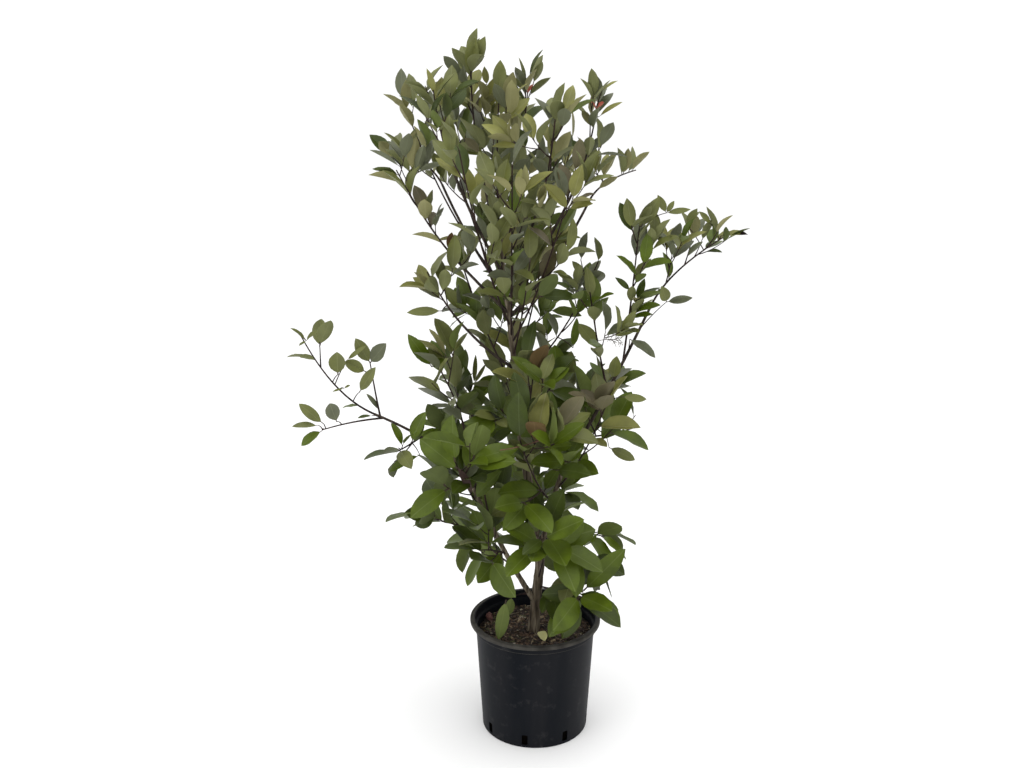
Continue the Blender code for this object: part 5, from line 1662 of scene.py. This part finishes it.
# %% [markdown]
# ## Small things that the eye looks for
# A real pot has bits that fell or blew in: a yellowed leaf, a red lump of bark, a few straws. The
# shrub too has its odd bits: red new leaves at two tips, a withered leaf that hangs curled, a leaf
# with a burnt tip, a bare red twig and a dry flower head. Each is made with the tools above. What
# grows starts on the nearest shoot, so it sits on wood from every side.

# %% Fallen leaf and lump of bark
fallen_finishes = leaf_finishes(
    "fallen leaf", (0.470, 0.450, 0.200), (0.480, 0.455, 0.225), (0.520, 0.500, 0.280), 0.50)
fallen = leaf_between((0.0210, -0.0740, 0.2420), (0.0120, -0.0280, 0.2560), (0.1, -0.2, 1), 0.021)
finish_leaves("fallen_leaf", [(fallen, 0, 5)], fallen_finishes, ["soil"])
LUMP_PLACE, LUMP_RADII = Vector((-0.106, 0.052, SOIL_TOP + 0.006)), Vector((0.0085, 0.007, 0.0125))
lump_bm = bmesh.new()
bmesh.ops.create_icosphere(lump_bm, subdivisions=3, radius=1.0)
for vert in lump_bm.verts:
    lumpy = 1 + 0.50 * noise.noise(vert.co * 1.3) + 0.16 * noise.noise(vert.co * 4.0)
    vert.co = LUMP_PLACE + vert.co * LUMP_RADII * lumpy
red_bark = wandering_finish("red bark", [(0.060, 0.022, 0.018), (0.200, 0.090, 0.078)], 160.0,
                            (0.80, 0.92), bump=0.8, depth=0.002)
finish_piece("red_bark_lump", mesh_of("red_bark_lump", lump_bm), [red_bark], ["soil"])

# %% Straws
STRAWS = (  # both ends on the mix
    ((-0.0104, -0.0714), (0.0107, 0.0150)), ((-0.0511, 0.0399), (-0.0321, 0.0551)),
    ((-0.0270, 0.1014), (-0.0149, 0.1119)), ((-0.0329, -0.0526), (-0.0145, -0.0384)),
    ((0.0559, -0.0526), (0.0917, -0.0192)), ((0.0700, 0.0300), (0.0480, 0.0560)),
    ((-0.0800, -0.0200), (-0.0620, -0.0440)), ((-0.0300, 0.0850), (-0.0650, 0.0700)),
)
STRAW_RADIUS, STRAW_LIFT, STRAW_ARCH = 0.0007, 0.0022, 0.002
straw_bm = bmesh.new()
for start, end in STRAWS:
    start, end = (Vector((*spot, ground_at(*spot) + STRAW_LIFT)) for spot in (start, end))
    line = bend(start, (start + end) / 2 + UP * STRAW_ARCH, end, 8)
    add_tube(straw_bm, line, [STRAW_RADIUS] * len(line), 6)
straw_finish = wandering_finish("dry straw", [(0.150, 0.120, 0.075), (0.300, 0.250, 0.170)], 200.0,
                                (0.7, 0.85))
finish_piece("straws", mesh_of("straws", straw_bm), [straw_finish], ["soil"])

# %% New leaves at two tips
NEW_TIPS = ("top_right", "top_back")
NEW_LEAF, NEW_SLIMNESS, NEW_LEAVES = 0.026, 0.40, 3
LAST_BUD, BUD_SINK, NEW_SPREAD = 0.92, 0.001, math.radians(38)
red_finishes = leaf_finishes(
    "new red leaf", (0.500, 0.100, 0.065), (0.520, 0.150, 0.105), (0.540, 0.170, 0.120), 0.36)
new_leaves = []
for mass in MASSES:
    if mass.name not in NEW_TIPS:
        continue
    tip, ahead = along_line(shoots[mass.name][0].line, LAST_BUD)
    for n in range(NEW_LEAVES):
        along = fan_out(ahead, n * GOLDEN_ANGLE, NEW_SPREAD, 0.1)
        spot = tip - ahead * BUD_SINK
        new_leaf = leaf_between(spot, spot + along * NEW_LEAF, ahead, NEW_LEAF * NEW_SLIMNESS)
        new_leaves.append((new_leaf, 0, n))
finish_leaves("new_leaves", new_leaves, red_finishes, ["foliage_" + name for name in NEW_TIPS])

# %% Withered leaf
def nearest_on_shoots(spot):
    """The point of the twigs and shoots that is nearest to a spot."""
    lines = [shoot.line for group in shoots.values() for shoot in group]
    points = [point for line in lines for point in line[1:]]
    return min(points, key=lambda point: ((point - Vector(spot)).length, *point))


withered_finishes = leaf_finishes(
    "withered leaf", (0.052, 0.030, 0.024), (0.072, 0.046, 0.036), (0.080, 0.054, 0.040), 0.55)
hold = nearest_on_shoots((-0.162, -0.160, 0.698))
withered = leaf_between(hold, hold + Vector((0.034, -0.006, -0.058)), (0.5, -1, 0.4), 0.017)
finish_leaves("withered_leaf", [(withered, 0, 9)], withered_finishes, ["foliage_middle_front_left"])

# %% Burnt leaf
BURNT_TINT, BURNT_EDGES = (0.012, 0.007, 0.005), (0.64, 0.74)  # the edges as shares of the length


def burn_tip(finish):
    """Blacken a leaf's finish towards its tip."""
    nodes, links = finish.node_tree.nodes, finish.node_tree.links
    _, along = flat_place(nodes, links)
    lay_over(finish, edge_node(nodes, links, along, *BURNT_EDGES), BURNT_TINT)


burnt_finishes = leaf_finishes("burnt leaf", *LEAF_TINTS["yellow olive"])
for finish in burnt_finishes:
    burn_tip(finish)
hold = shoots["arm_tip"][-1].line[-1]
burnt = leaf_between(hold, hold + Vector((0.050, -0.022, 0.010)), UPWARDS, 0.021)
finish_leaves("burnt_leaf", [(burnt, 0, 3)], burnt_finishes, ["foliage_arm_tip"])

# %% Bare red twig
BARE_SAG, BARE_ENDS = 0.008, (0.0014, 0.0010)
hold = nearest_on_shoots((0.023, -0.180, 0.766))
bare_end = Vector((-0.078, -0.200, 0.747))
bare_line = bend(hold, (hold + bare_end) / 2 - UP * BARE_SAG, bare_end, 8)
bare_bm = bmesh.new()
add_tube(bare_bm, bare_line, tapered(BARE_ENDS, bare_line), 8)
red_wood = wandering_finish("red-brown bark", [(0.060, 0.024, 0.014), (0.170, 0.075, 0.042)], 120.0,
                            (0.60, 0.75), bump=0.3, depth=0.0006)
finish_piece("bare_red_twig", mesh_of("bare_red_twig", bare_bm), [red_wood],
             ["foliage_middle_front"])

# %% Dry flower head
HEAD_LENGTH, HEAD_ARCH, HEAD_RADII = 0.052, 0.006, (0.0008, 0.0006)
BRANCHES, BRANCH_PLACES, BRANCH_SPREAD = 10, (0.35, 0.62), math.radians(55)  # first, and how far on
BRANCH_LENGTHS, BRANCH_FADE = (0.22, 0.36), 0.5  # of the head's length
TWIGLETS, TWIGLET_PLACES, TWIGLET_SPREAD = 4, (0.45, 0.18), math.radians(50)  # first, and the gap
TWIGLET_LENGTHS, TWIGLET_RADIUS = (0.004, 0.008), HEAD_RADII[1] * 0.8
hold = nearest_on_shoots((0.092, -0.060, 0.932))
rng = random.Random(4)
head_bm = bmesh.new()
way = Vector((0.92, -0.35, 0.10)).normalized()
axis = bend(hold, hold + way * HEAD_LENGTH * 0.5 + UP * HEAD_ARCH, hold + way * HEAD_LENGTH, 8)
add_tube(head_bm, axis, tapered(HEAD_RADII, axis), 6)
for n in range(BRANCHES):
    start, ahead = along_line(axis, BRANCH_PLACES[0] + BRANCH_PLACES[1] * n / (BRANCHES - 1))
    side = fan_out(ahead, n * GOLDEN_ANGLE, BRANCH_SPREAD, 0.1)
    reach = HEAD_LENGTH * rng.uniform(*BRANCH_LENGTHS) * (1.2 - BRANCH_FADE * n / BRANCHES)
    end = start + side * reach
    add_tube(head_bm, [start, (start + end) / 2, end], [HEAD_RADII[1]] * 3, 6)
    for m in range(TWIGLETS):
        foot, lead = along_line([start, end], TWIGLET_PLACES[0] + TWIGLET_PLACES[1] * m)
        twiglet = fan_out(lead, m * GOLDEN_ANGLE, TWIGLET_SPREAD, 0.1)
        top = foot + twiglet * rng.uniform(*TWIGLET_LENGTHS)
        add_tube(head_bm, [foot, top], [TWIGLET_RADIUS] * 2, 6)
dry_finish = wandering_finish("dry flower head", [(0.060, 0.046, 0.034), (0.130, 0.104, 0.078)], 200.0,
                              (0.7, 0.85))
finish_piece("dry_flower_head", mesh_of("dry_flower_head", head_bm), [dry_finish],
             ["foliage_waist_right_low"])
